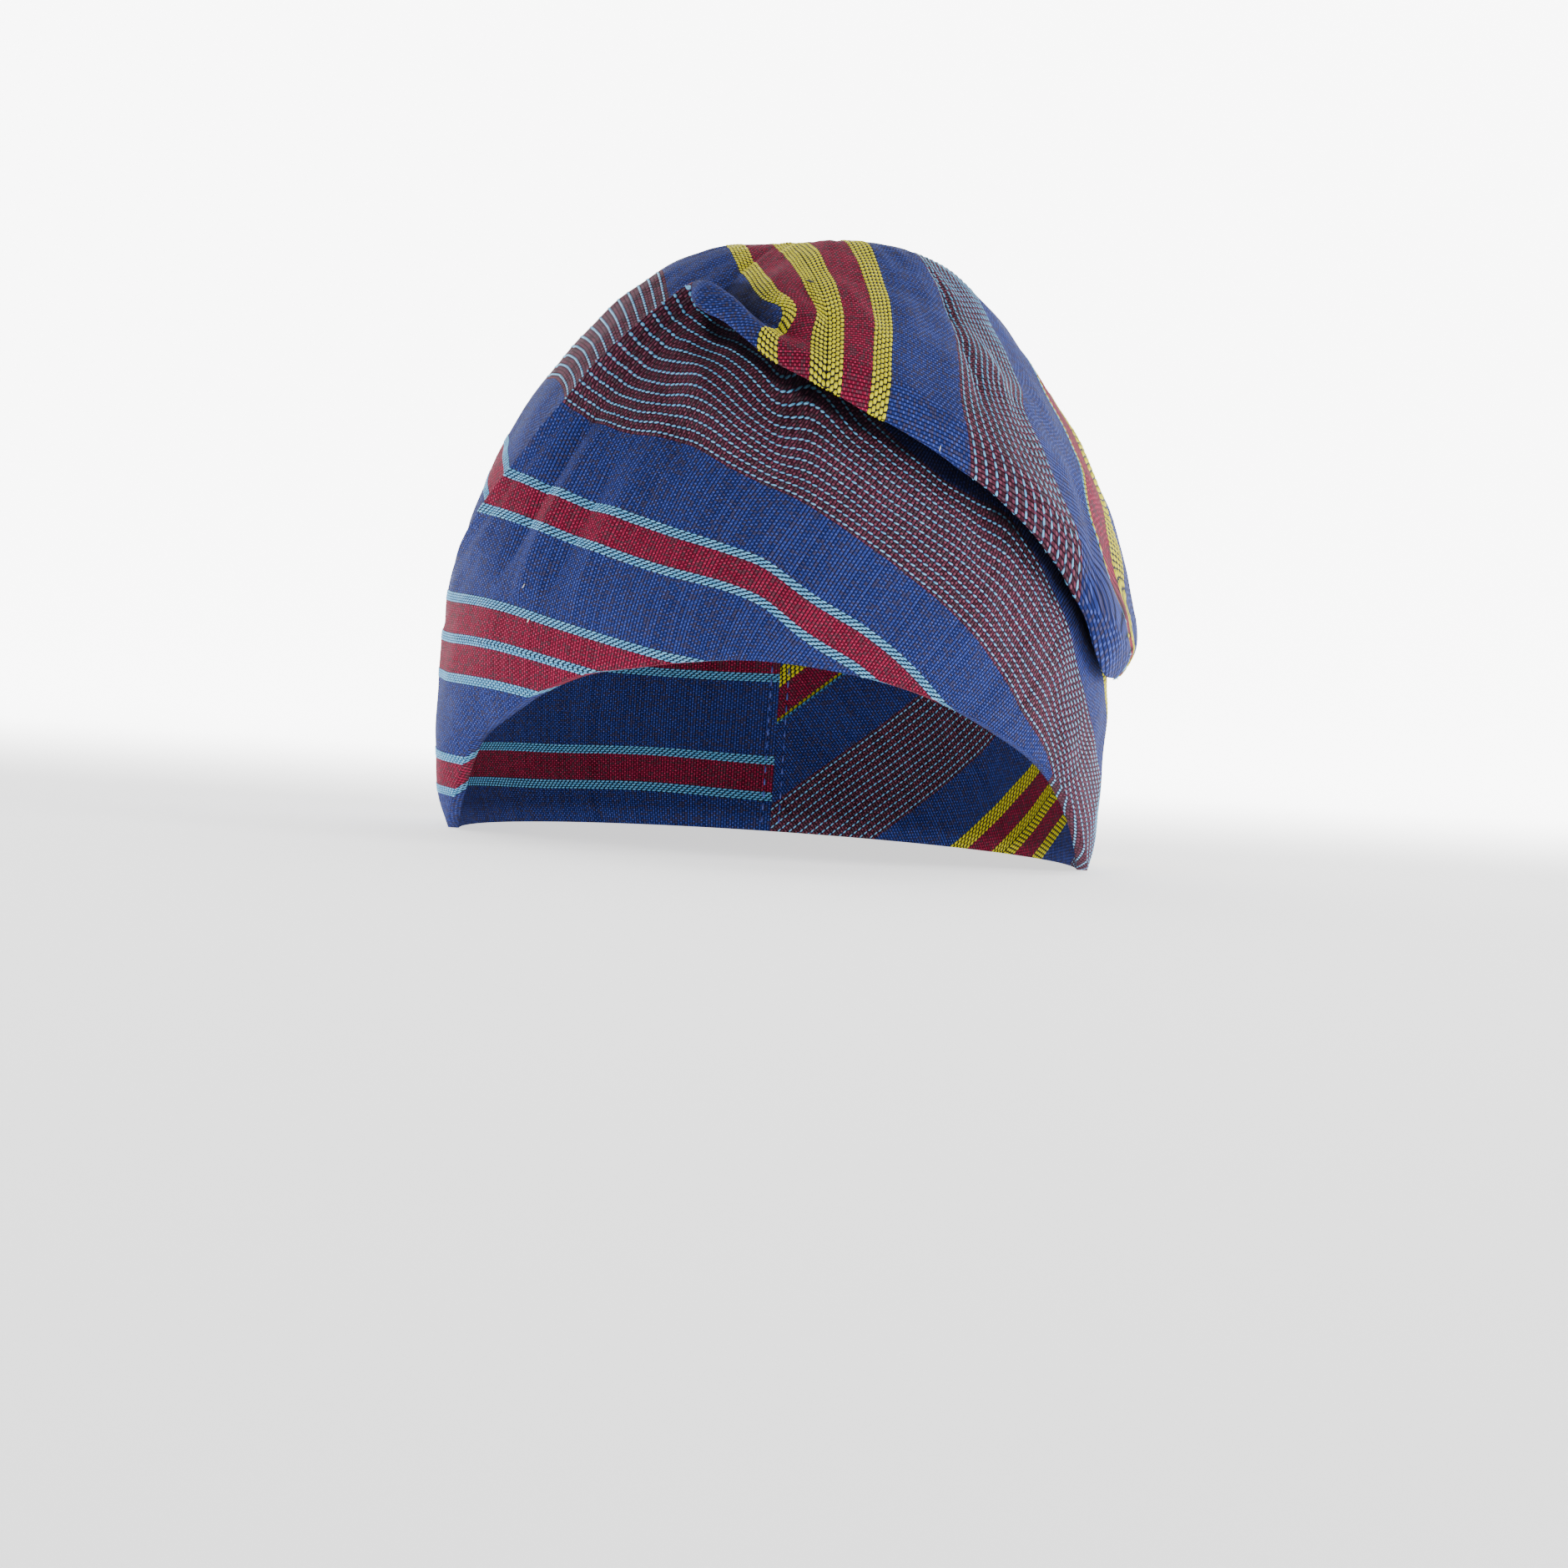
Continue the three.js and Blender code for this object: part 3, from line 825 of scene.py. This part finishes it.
class Shader(Nodes):
    """A new material's node tree, with short ways to add what the cloth's materials use."""

    def __init__(self, name):
        self.material = bpy.data.materials.new(name)
        self.material.use_nodes = True
        super().__init__(self.material.node_tree)
        self.tree.nodes.clear()

    def mix(self, share, first, second):
        """Colour between two colours."""
        node = self.tree.nodes.new("ShaderNodeMix")
        node.data_type = "RGBA"
        plug(self.tree, node.inputs["Factor"], share)
        plug(self.tree, node.inputs[6], first)
        plug(self.tree, node.inputs[7], second)
        return Value(self.tree, node.outputs[2])

    def vector(self, x, y, z=0.0):
        """Vector made of three values."""
        return self.add("ShaderNodeCombineXYZ", X=x, Y=y, Z=z)["Vector"]

    def noise(self, vector, scale, detail=2.0):
        """Smooth noise between 0 and 1."""
        return self.add("ShaderNodeTexNoise", Vector=vector, Scale=scale, Detail=detail)["Fac"]

    def chance(self, vector):
        """A steady random number between 0 and 1 for each vector."""
        return self.add("ShaderNodeTexWhiteNoise", {"noise_dimensions": "3D"}, Vector=vector)["Value"]

    def bump(self, strength, distance, height):
        """Normal of a surface with a fine relief."""
        return self.add("ShaderNodeBump", Strength=strength, Distance=distance, Height=height)["Normal"]

    def finish(self, **sockets):
        """Joins a surface with these sockets to the output, and gives back the material."""
        surface = self.add("ShaderNodeBsdfPrincipled", **sockets)["BSDF"]
        self.add("ShaderNodeOutputMaterial", Surface=surface)
        return self.material


def linear(tone):
    """Scene colour of a tone given as it looks on screen, from 0 to 255."""
    shares = [channel / 255 for channel in tone]
    return tuple(c / 12.92 if c <= 0.04045 else ((c + 0.055) / 1.055) ** 2.4 for c in shares) + (1.0,)


def cells(value):
    """Number of the cell that a value lies in, and its place across the cell from -1 to 1."""
    return value.floor(), value.fraction() * 2 - 1


def dash_height(across, along, slant, fall_across, fall_along):
    """Height of a slanted dash: 1 in its middle and under 0 outside it."""
    slanted = across + along * slant
    return 1 - slanted * slanted * fall_across - along * along * fall_along


def cloth_material(cloth):
    """Woven cloth: bands of plain weave, lanes of slanted floats, pinstripes, ribs and seams, with painted
    light and shade.
    """
    shader = Shader("aso_oke_cloth")
    place = shader.add("ShaderNodeUVMap", {"uv_map": "cloth"})["UV"]
    parts = shader.add("ShaderNodeSeparateXYZ", Vector=place)
    stripe = parts["X"] * UV_SPAN
    thread = parts["Y"] * UV_SPAN
    strip = (stripe - (stripe > CUT_SEAM) * CUT_SHIFT).to_and_fro(STRIP_WIDTH)
    beats = thread / (2 * cloth.weft_pitch)
    # gap: tone of the painted shade in the gaps between threads and in the fold, also of the dark sewn
    # lines
    gap = linear(SHADE_AND_SEAM_TONE)

    limits = [low for low, _ in BANDS] + [STRIP_WIDTH + 1]
    masks = [(tone, low, (strip > low) * (strip < high)) for (low, tone), high in zip(BANDS, limits[1:])]
    start = sum(mask * low for _, low, mask in masks)
    crimson, maroon, light, yellow = (
        sum(mask for name, _, mask in masks if name == tone)
        for tone in ("crimson", "maroon", "light", "yellow")
    )
    floats = light + yellow

    pitch = maroon * (PIN_PITCH / 3 - cloth.warp_pitch) + cloth.warp_pitch
    warp, warp_place = cells((strip - PIN_START) / pitch)
    weft, weft_place = cells(thread / cloth.weft_pitch)
    under = ((warp + weft) / 2).fraction() * 2
    cell = shader.chance(shader.vector(warp, weft, 1.0))
    row = shader.chance(shader.vector(0.0, weft, 3.0))
    along = 1 - weft_place * weft_place
    knot = (1 - warp_place * warp_place) * along
    up = (1 - under * UNDER_DROP) * knot.ramp(0.0, 0.7)
    cloudy = shader.noise(shader.vector(stripe * CLOUD_SCALE, thread * CLOUD_SCALE), 1.0, 4.0)

    def woven(tone):
        dark, lit, top = (linear(level) for level in TONES[tone])
        # Painted light and shade: a raised thread is painted lit and a sunken one shaded, mottled at random
        # by clouds and rows
        painted_light_and_mottle = up * RISE_PAINTED_LIGHT + cloudy * CLOUD_LIGHT - CLOUD_LIGHT / 2 + row * ROW_LIGHT
        body = shader.mix(painted_light_and_mottle, dark, lit)
        # Painted highlight on the top of a raised knot, in some cells at random
        return shader.mix(knot.ramp(0.3, 1.0) * (1 - under) * (cell * TOP_PAINTED_HIGHLIGHT), body, top)

    ground = woven("blue")
    ground = shader.mix(crimson, ground, woven("crimson"))
    ground = shader.mix(maroon, ground, woven("maroon"))
    weft_shows = (cell > WEFT_CHANCE) * knot.ramp(0.1, 0.6) * WEFT_SHARE
    ground = shader.mix(weft_shows, ground, linear(WEFT_TONE))
    # Painted shade in the gaps between weft rows, deeper on some rows at random, and between the ground's
    # knots under the floats
    ground = shader.mix(along.ramp(0.8, 0.25) * (0.5 + row * 0.5), ground, gap)
    ground = shader.mix(floats, ground, shader.mix(knot, gap, linear(UNDER_TONE)))

    lane, lane_place = cells((strip - start) / (yellow * (YELLOW_LANE - LIGHT_LANE) + LIGHT_LANE))
    beat, beat_place = cells(beats + lane * LANE_SHIFT)
    beat_chance = shader.chance(shader.vector(beat, lane, start))
    dash = dash_height(lane_place, beat_place, *FLOAT_DASH)
    dash_share = dash.ramp(0.0, 0.3) * floats

    pin = (strip - PIN_START) / PIN_PITCH
    pin_place = (pin.fraction() - 0.5) * (2 * PIN_PITCH / PIN_LANE)
    _, pin_beat_place = cells(beats + pin.floor() * PIN_SHIFT)
    pin_dash = dash_height(pin_place, pin_beat_place, *PIN_DASH)
    pins = pin_dash.ramp(0.05, 0.35) * maroon
    links = pin_place.away().ramp(0.7, 0.3) * maroon

    # Painted light on the dashes: the lit tone with a painted highlight along each middle; the pinstripe's
    # thread between dashes is light blue in painted shade
    light_shaded, light_lit, light_highlight = (linear(level) for level in TONES["light"])
    _, yellow_lit, yellow_highlight = (linear(level) for level in TONES["yellow"])
    body = shader.mix(yellow, light_lit, yellow_lit)
    top = shader.mix(yellow, light_highlight, yellow_highlight)
    dash_painted_light = shader.mix(dash.ramp(0.3, 1.0) * (0.5 + beat_chance * 0.5), body, top)
    colour = shader.mix(links * 0.5, ground, light_shaded)
    colour = shader.mix(dash_share, colour, dash_painted_light)
    colour = shader.mix(pins, colour, shader.mix(pin_dash.ramp(0.2, 1.0), light_lit, light_highlight))

    cut = (stripe - CUT_SEAM).away() < SEWN_CUT
    sewn = (strip < SEWN_LIGHT) + (strip > STRIP_WIDTH - SEWN_YELLOW) + cut
    colour = shader.mix(sewn * 0.6, colour, gap)
    # Painted shade deep in the fold's pocket and in the groove behind the crest
    fold = shader.add("ShaderNodeAttribute", {"attribute_name": "fold_shade"})["Fac"]
    colour = shader.mix(fold * SHADE_DEPTH, colour, gap)

    raised = dash_share * dash.ramp(0.0, 1.0) + pins * 0.8
    plain = (1 - floats) * (knot * (1 - under * 0.5) * 0.7 + along * 0.35 + cell * 0.1)
    height = plain + raised * 0.9 - sewn * 1.2
    return shader.finish(
        Base_Color=colour, Roughness=0.85 - raised * 0.3, Normal=shader.bump(0.6, WEAVE_RELIEF, height),
        Sheen_Weight=0.02, Sheen_Roughness=0.4, Specular_IOR_Level=0.06,
    )


def new_mesh(name, vertices, faces=()):
    """Smooth-shaded mesh from vertices in millimetres about the head form's middle."""
    mesh = bpy.data.meshes.new(name)
    mesh.from_pydata(((vertices + CENTRE) * MILLIMETRE).tolist(), [], faces)
    mesh.shade_smooth()
    return mesh


def write_layer(mesh, name, values):
    """Writes a number or a vector for each vertex into an attribute of a mesh."""
    kind, field = ("FLOAT", "value") if values.ndim == 1 else ("FLOAT_VECTOR", "vector")
    layer = mesh.attributes.new(name, kind, "POINT")
    layer.data.foreach_set(field, values.astype(np.float32).ravel())


def place_object(name, data):
    """New object with its data, linked to the scene."""
    item = bpy.data.objects.new(name, data)
    bpy.context.scene.collection.objects.link(item)
    return item


def float_material(name, tone):
    """Shiny thread of one float, a little lighter or darker from one to the next."""
    shader = Shader("aso_oke_" + name)
    chance = shader.add("ShaderNodeAttribute", {"attribute_name": "chance"})["Fac"]
    spot = shader.add("ShaderNodeTexCoord")["Object"]
    fibre = shader.noise(spot, FIBRE_SCALE)
    _, lit, top = (linear(level) for level in TONES[tone])
    colour = shader.mix(chance * 0.6 + fibre * 0.5 - 0.1, lit, top)
    return shader.finish(
        Base_Color=colour, Normal=shader.bump(0.3, FIBRE_RELIEF, fibre), Roughness=0.5,
        Specular_IOR_Level=0.2,
    )


def float_tree():
    """Geometry Nodes tree that lays a rounded float on each vertex of a carrier mesh, and its inputs."""
    tree = bpy.data.node_groups.new("fila_floats", "GeometryNodeTree")
    inputs = {}
    for name, kind in (
        ("Geometry", "Geometry"), ("Length", "Float"), ("Width", "Float"), ("Height", "Float"),
        ("Material", "Material"),
    ):
        item = tree.interface.new_socket(name, in_out="INPUT", socket_type="NodeSocket" + kind)
        inputs[name] = item.identifier
    tree.interface.new_socket("Geometry", in_out="OUTPUT", socket_type="NodeSocketGeometry")
    nodes = Nodes(tree)
    outputs = nodes.add("NodeGroupInput")
    given = {name: outputs[identifier] for name, identifier in inputs.items()}

    def attribute(name, kind="FLOAT_VECTOR"):
        return nodes.add("GeometryNodeInputNamedAttribute", {"data_type": kind}, Name=name)["Attribute"]

    length = given["Length"] * attribute("stretch", "FLOAT")
    size = nodes.add("ShaderNodeCombineXYZ", X=length, Y=given["Width"], Z=given["Height"])["Vector"]
    turn = nodes.add(
        "FunctionNodeAxesToRotation", {"primary_axis": "Z", "secondary_axis": "X"},
        Primary_Axis=attribute("outward"), Secondary_Axis=attribute("along"),
    )["Rotation"]
    bead = nodes.add("GeometryNodeMeshIcoSphere", Radius=0.5, Subdivisions=1)["Mesh"]
    laid = nodes.add(
        "GeometryNodeInstanceOnPoints", Points=given["Geometry"], Instance=bead, Rotation=turn, Scale=size,
    )["Instances"]
    smooth = nodes.add("GeometryNodeSetShadeSmooth", Geometry=laid)["Geometry"]
    real = nodes.add("GeometryNodeRealizeInstances", Geometry=smooth)["Geometry"]
    dressed = nodes.add("GeometryNodeSetMaterial", Geometry=real, Material=given["Material"])["Geometry"]
    nodes.add("NodeGroupOutput", Geometry=dressed)
    return tree, inputs


def lay_floats(context, name, places, tone, size, seed):
    """Lays rounded floats on places with their ways along and outwards, as one piece."""
    tree, inputs = float_tree()
    chances = np.random.default_rng(seed)
    chance = chances.random(len(places))
    mesh = new_mesh(name + "_carrier", places[:, :3])
    write_layer(mesh, "along", places[:, 3:6])
    write_layer(mesh, "outward", places[:, 6:9])
    write_layer(mesh, "stretch", places[:, 9] * (1 + FLOAT_SPREAD * (chances.random(len(places)) - 0.5)))
    write_layer(mesh, "chance", chance)
    carrier = place_object(name + "_carrier", mesh)
    modifier = carrier.modifiers.new("Floats", "NODES")
    modifier.node_group = tree
    for label, length in zip(("Length", "Width", "Height"), size):
        modifier[inputs[label]] = length * MILLIMETRE
    modifier[inputs["Material"]] = float_material(name, tone)
    laid = bpy.data.meshes.new_from_object(carrier.evaluated_get(context.evaluated_depsgraph_get()))
    laid.name = name
    bpy.data.objects.remove(carrier)
    piece = place_object(name, laid)
    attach(piece, "root")


def seam_places(points, pitch, aside):
    """Middles of a row of stitches beside the back seam, with their ways along and outwards."""
    line = points[0]
    beside = points[1] - points[-2]
    run = np.concatenate(((0,), np.cumsum(np.linalg.norm(np.diff(line, axis=0), axis=-1))))
    at = np.arange(pitch, SEAM_LENGTH, pitch)
    way = unit(np.gradient(line, run, axis=0))
    across = unit(beside)
    outward = unit(np.cross(across, way))
    columns = np.concatenate((line + across * aside, way, outward), axis=1)
    places = np.stack([np.interp(at, run, column) for column in columns.T], axis=1)
    return np.concatenate((places, np.ones((len(at), 1))), axis=1)


class FloatSettings(bpy.types.PropertyGroup):
    """Sizes of the raised floats, in millimetres."""

    length: bpy.props.FloatProperty(name="Length", description="Length of a float, in mm", default=1.45)
    fill: bpy.props.FloatProperty(name="Fill", description="Float's share of its lane", default=0.86)
    height: bpy.props.FloatProperty(name="Height", description="Thickness of a float, in mm", default=0.36)
    stitch: bpy.props.FloatProperty(name="Stitch", description="Seam stitch's length, in mm", default=2.4)


class ClothSettings(bpy.types.PropertyGroup):
    """Sizes of the cloth's grid and weave."""

    columns: bpy.props.IntProperty(name="Columns", description="Columns around the cap", default=240)
    finer: bpy.props.IntProperty(name="Finer", description="Rows for each CAD row", default=4)
    warp_pitch: bpy.props.FloatProperty(name="Warp pitch", description="Warp threads, in mm", default=0.5)
    weft_pitch: bpy.props.FloatProperty(name="Weft pitch", description="Weft ribs, in mm", default=0.83)


class StageSettings(bpy.types.PropertyGroup):
    """The camera and the lights."""

    distance: bpy.props.FloatProperty(
        name="Distance", description="Camera to target", default=1.4, unit="LENGTH",
    )
    lens: bpy.props.FloatProperty(name="Lens", description="Focal length in mm", default=132.1)
    elevation: bpy.props.FloatProperty(
        name="Elevation", description="Camera above the level", default=math.radians(2), subtype="ANGLE",
    )
    roll: bpy.props.FloatProperty(
        name="Roll", description="Camera's lean to the side", default=math.radians(3.88), subtype="ANGLE",
    )


class FILA_OT_cloth(bpy.types.Operator):
    """Build the cap's bag of cloth"""

    bl_idname = "fila.cloth"
    bl_label = "Cloth"

    def execute(self, context):
        settings = context.scene.fila_cloth
        columns = settings.columns
        laid = lay_cloth(columns, settings.finer)
        rows = len(laid.stations) - 1
        inner_rows = len(laid.inner_stations) - 1
        inner_start = columns * rows
        pole = inner_start + columns * inner_rows
        vertices = np.concatenate((
            laid.outer[:-1, :-1].reshape(-1, 3),
            laid.inner[:-1, :-1].reshape(-1, 3),
            laid.outer[:1, -1],
            laid.inner[:1, -1],
        ))

        # Pattern's coordinates on the grid, and on the rim's edge, where the pattern runs on past the rim
        pattern = np.stack((laid.stripe, laid.thread), axis=-1) / UV_SPAN
        first_step = np.linalg.norm(laid.outer[:, 1] - laid.outer[:, 0], axis=-1)[:, None]
        edge = (pattern[:, 0] - (pattern[:, 1] - pattern[:, 0]) / first_step * HEM_THICKNESS).tolist()
        pattern = pattern.tolist()
        faces = []
        uvs = []
        sides = ((0, rows, 1, pole, 1), (inner_start, inner_rows, settings.finer, pole + 1, -1))
        for i in range(columns):
            k = (i + 1) % columns
            for start, count, finer, top, way in sides:
                a, b = start + i * count, start + k * count
                left, right = pattern[i][::finer], pattern[i + 1][::finer]
                for row in range(count):
                    corners = [(a + row, left[row]), (b + row, right[row])]
                    if row < count - 1:
                        corners += [(b + row + 1, right[row + 1]), (a + row + 1, left[row + 1])]
                    else:
                        corners.append((top, left[count]))
                    corners = corners[:1] + corners[1:][::way]
                    faces.append([corner for corner, _ in corners])
                    uvs += [place for _, place in corners]
            faces.append([i * rows, inner_start + i * inner_rows, inner_start + k * inner_rows, k * rows])
            uvs += [pattern[i][0], edge[i], edge[i + 1], pattern[i + 1][0]]
        mesh = new_mesh("cap_cloth", vertices, faces)
        layer = mesh.uv_layers.new(name="cloth")
        layer.data.foreach_set("uv", np.array(uvs, np.float32).ravel())
        shades = np.zeros(len(vertices))
        shades[:inner_start] = laid.shade[:-1, :-1].ravel()
        write_layer(mesh, "fold_shade", shades)
        mesh.materials.append(cloth_material(settings))
        piece = place_object("cap_cloth", mesh)
        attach(piece, "root")
        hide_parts("cap_body")
        return {"FINISHED"}


class FILA_OT_floats(bpy.types.Operator):
    """Lay the raised floats of the light blue and yellow bands and the pinstripes"""

    bl_idname = "fila.floats"
    bl_label = "Floats"

    def execute(self, context):
        cloth = context.scene.fila_cloth
        settings = context.scene.fila_floats
        for number, (band, name, tone, width) in enumerate((
            ("light", "light_floats", "light", LIGHT_LANE),
            ("yellow", "yellow_floats", "yellow", YELLOW_LANE),
            ("maroon", "pinstripe_floats", "light", PIN_LANE),
        )):
            places = float_places(band, cloth.columns, cloth.finer, 2 * cloth.weft_pitch)
            along, outward = places[:, 3:6], places[:, 6:9]
            aside = np.cross(outward, along)
            places[:, 3:6] = along * math.cos(FLOAT_SLANT) + aside * math.sin(FLOAT_SLANT)
            size = (settings.length, settings.fill * width, settings.height)
            lay_floats(context, name, places, tone, size, SEED + number)
        return {"FINISHED"}


class FILA_OT_seam(bpy.types.Operator):
    """Sew the back seam with rows of stitches, inside and outside"""

    bl_idname = "fila.seam"
    bl_label = "Back seam"

    def execute(self, context):
        cloth = context.scene.fila_cloth
        settings = context.scene.fila_floats
        laid = lay_cloth(cloth.columns, cloth.finer)
        places = np.concatenate([
            seam_places(side, settings.stitch * STITCH_PITCH, aside)
            for side in (laid.outer, laid.inner)
            for aside in (SEAM_ASIDE, -SEAM_ASIDE)
        ])
        lay_floats(context, "seam_stitches", places, "blue", (settings.stitch, 0.5, 0.5), SEED)
        return {"FINISHED"}


class FILA_OT_specks(bpy.types.Operator):
    """Put specks of lint and one dark slub on the cloth"""

    bl_idname = "fila.specks"
    bl_label = "Specks"

    def execute(self, context):
        cloth = context.scene.fila_cloth
        settings = context.scene.fila_floats
        laid = lay_cloth(cloth.columns, cloth.finer)
        outer = laid.outer
        for name, tone, spots, size in (
            ("lint", "lint", LINT, (settings.stitch * 0.7, 0.22, 0.4)),
            ("slub", "slub", SLUB, (settings.stitch, 0.8, 0.7)),
        ):
            places = []
            for angle, station, turn in spots:
                i = round((angle + 180) / 360 * cloth.columns)
                j = int(np.searchsorted(laid.stations, station))
                up = unit(outer[i, j + 1] - outer[i, j - 1])
                side = unit(outer[i + 1, j] - outer[i - 1, j])
                way = side * math.cos(math.radians(turn)) + up * math.sin(math.radians(turn))
                outward = unit(np.cross(side, up))
                places.append(np.concatenate((outer[i, j] + outward * SPECK_LIFT, way, outward, (1.0,))))
            lay_floats(context, name, np.array(places), tone, size, SEED)
        return {"FINISHED"}


class FILA_OT_stage(bpy.types.Operator):
    """Build the floor, the backdrop, the lights and the camera"""

    bl_idname = "fila.stage"
    bl_label = "Stage"

    def execute(self, context):
        settings = context.scene.fila_stage
        scene = context.scene
        sweep = [(PAPER_FRONT, 0.0), (PAPER_BEND, 0.0)]
        for k in range(1, PAPER_STEPS + 1):
            bend = k / PAPER_STEPS * QUARTER
            sweep.append((
                PAPER_BEND + PAPER_RADIUS * math.sin(bend), PAPER_RADIUS - PAPER_RADIUS * math.cos(bend),
            ))
        sweep.append((PAPER_BEND + PAPER_RADIUS, PAPER_TOP))
        points = [(x, y, z) for y, z in sweep for x in (-PAPER_HALF, PAPER_HALF)]
        faces = [(2 * k, 2 * k + 1, 2 * k + 3, 2 * k + 2) for k in range(len(sweep) - 1)]
        floor = place_object(
            "studio_floor", new_mesh("studio_floor", np.array(points) / MILLIMETRE - CENTRE, faces),
        )
        shader = Shader("studio_paper")
        spot = shader.add("ShaderNodeTexCoord")["Object"]
        spot = shader.add("ShaderNodeSeparateXYZ", Vector=spot)
        behind = spot["Y"].ramp(0.1, 0.75) * spot["Z"].ramp(0.9, 0.45)
        floor.data.materials.append(shader.finish(
            Base_Color=(0.9, 0.9, 0.9, 1.0), Roughness=0.9,
            Emission_Color=shader.mix(behind, NEAR_GLOW, FAR_GLOW), Emission_Strength=GLOW_STRENGTH,
        ))

        world = bpy.data.worlds.new("studio")
        world.use_nodes = True
        sky = world.node_tree.nodes["Background"].inputs
        sky["Color"].default_value = FAR_GLOW
        sky["Strength"].default_value = SKY_STRENGTH
        scene.world = world

        for name, spot, aim, size, power in LIGHTS:
            data = bpy.data.lights.new(name, "AREA")
            data.shape = "SQUARE"
            data.size = size
            data.energy = power
            lamp = place_object(name, data)
            lamp.location = spot
            lamp.rotation_mode = "QUATERNION"
            lamp.rotation_quaternion = (Vector(aim) - Vector(spot)).to_track_quat("-Z", "Y")

        forward = Vector((0, math.cos(settings.elevation), -math.sin(settings.elevation)))
        right = Vector((math.cos(settings.roll), 0, math.sin(settings.roll)))
        right = (right - forward * right.dot(forward)).normalized()
        up = right.cross(forward)
        place = Vector(CAMERA_AIM) * MILLIMETRE - forward * settings.distance
        data = bpy.data.cameras.new("camera")
        data.lens = settings.lens
        data.sensor_width = 36
        data.clip_start = 0.05
        data.clip_end = 50
        camera = place_object("camera", data)
        turn = Matrix((right, up, -forward)).transposed()
        camera.matrix_world = Matrix.Translation(place) @ turn.to_4x4()
        bpy.context.scene.camera = camera
        return {"FINISHED"}


class FILA_PT_panel(bpy.types.Panel):
    """Buttons that build the cap and its stage."""

    bl_label = "Fila cap"
    bl_idname = "FILA_PT_panel"
    bl_space_type = "VIEW_3D"
    bl_region_type = "UI"
    bl_category = "Fila cap"

    def draw(self, context):
        scene = context.scene
        for settings in (scene.fila_cloth, scene.fila_floats, scene.fila_stage):
            box = self.layout.box()
            for name in settings.bl_rna.properties.keys():
                if name not in ("rna_type", "name"):
                    box.prop(settings, name)
        for name in ("cloth", "floats", "seam", "specks", "stage"):
            self.layout.operator("fila." + name)


CLASSES = (
    ClothSettings, FloatSettings, StageSettings, FILA_OT_cloth, FILA_OT_floats, FILA_OT_seam,
    FILA_OT_specks, FILA_OT_stage, FILA_PT_panel,
)


def register():
    """Add the classes and the scene's settings."""
    for kind in CLASSES:
        bpy.utils.register_class(kind)
    bpy.types.Scene.fila_cloth = bpy.props.PointerProperty(type=ClothSettings)
    bpy.types.Scene.fila_floats = bpy.props.PointerProperty(type=FloatSettings)
    bpy.types.Scene.fila_stage = bpy.props.PointerProperty(type=StageSettings)


def unregister():
    """Take the classes and the scene's settings away."""
    del bpy.types.Scene.fila_cloth
    del bpy.types.Scene.fila_floats
    del bpy.types.Scene.fila_stage
    for kind in reversed(CLASSES):
        bpy.utils.unregister_class(kind)


def main():
    """Build everything in order."""
    register()
    bpy.ops.fila.cloth()
    bpy.ops.fila.floats()
    bpy.ops.fila.seam()
    bpy.ops.fila.specks()
    bpy.ops.fila.stage()


if __name__ == "__main__":
    main()
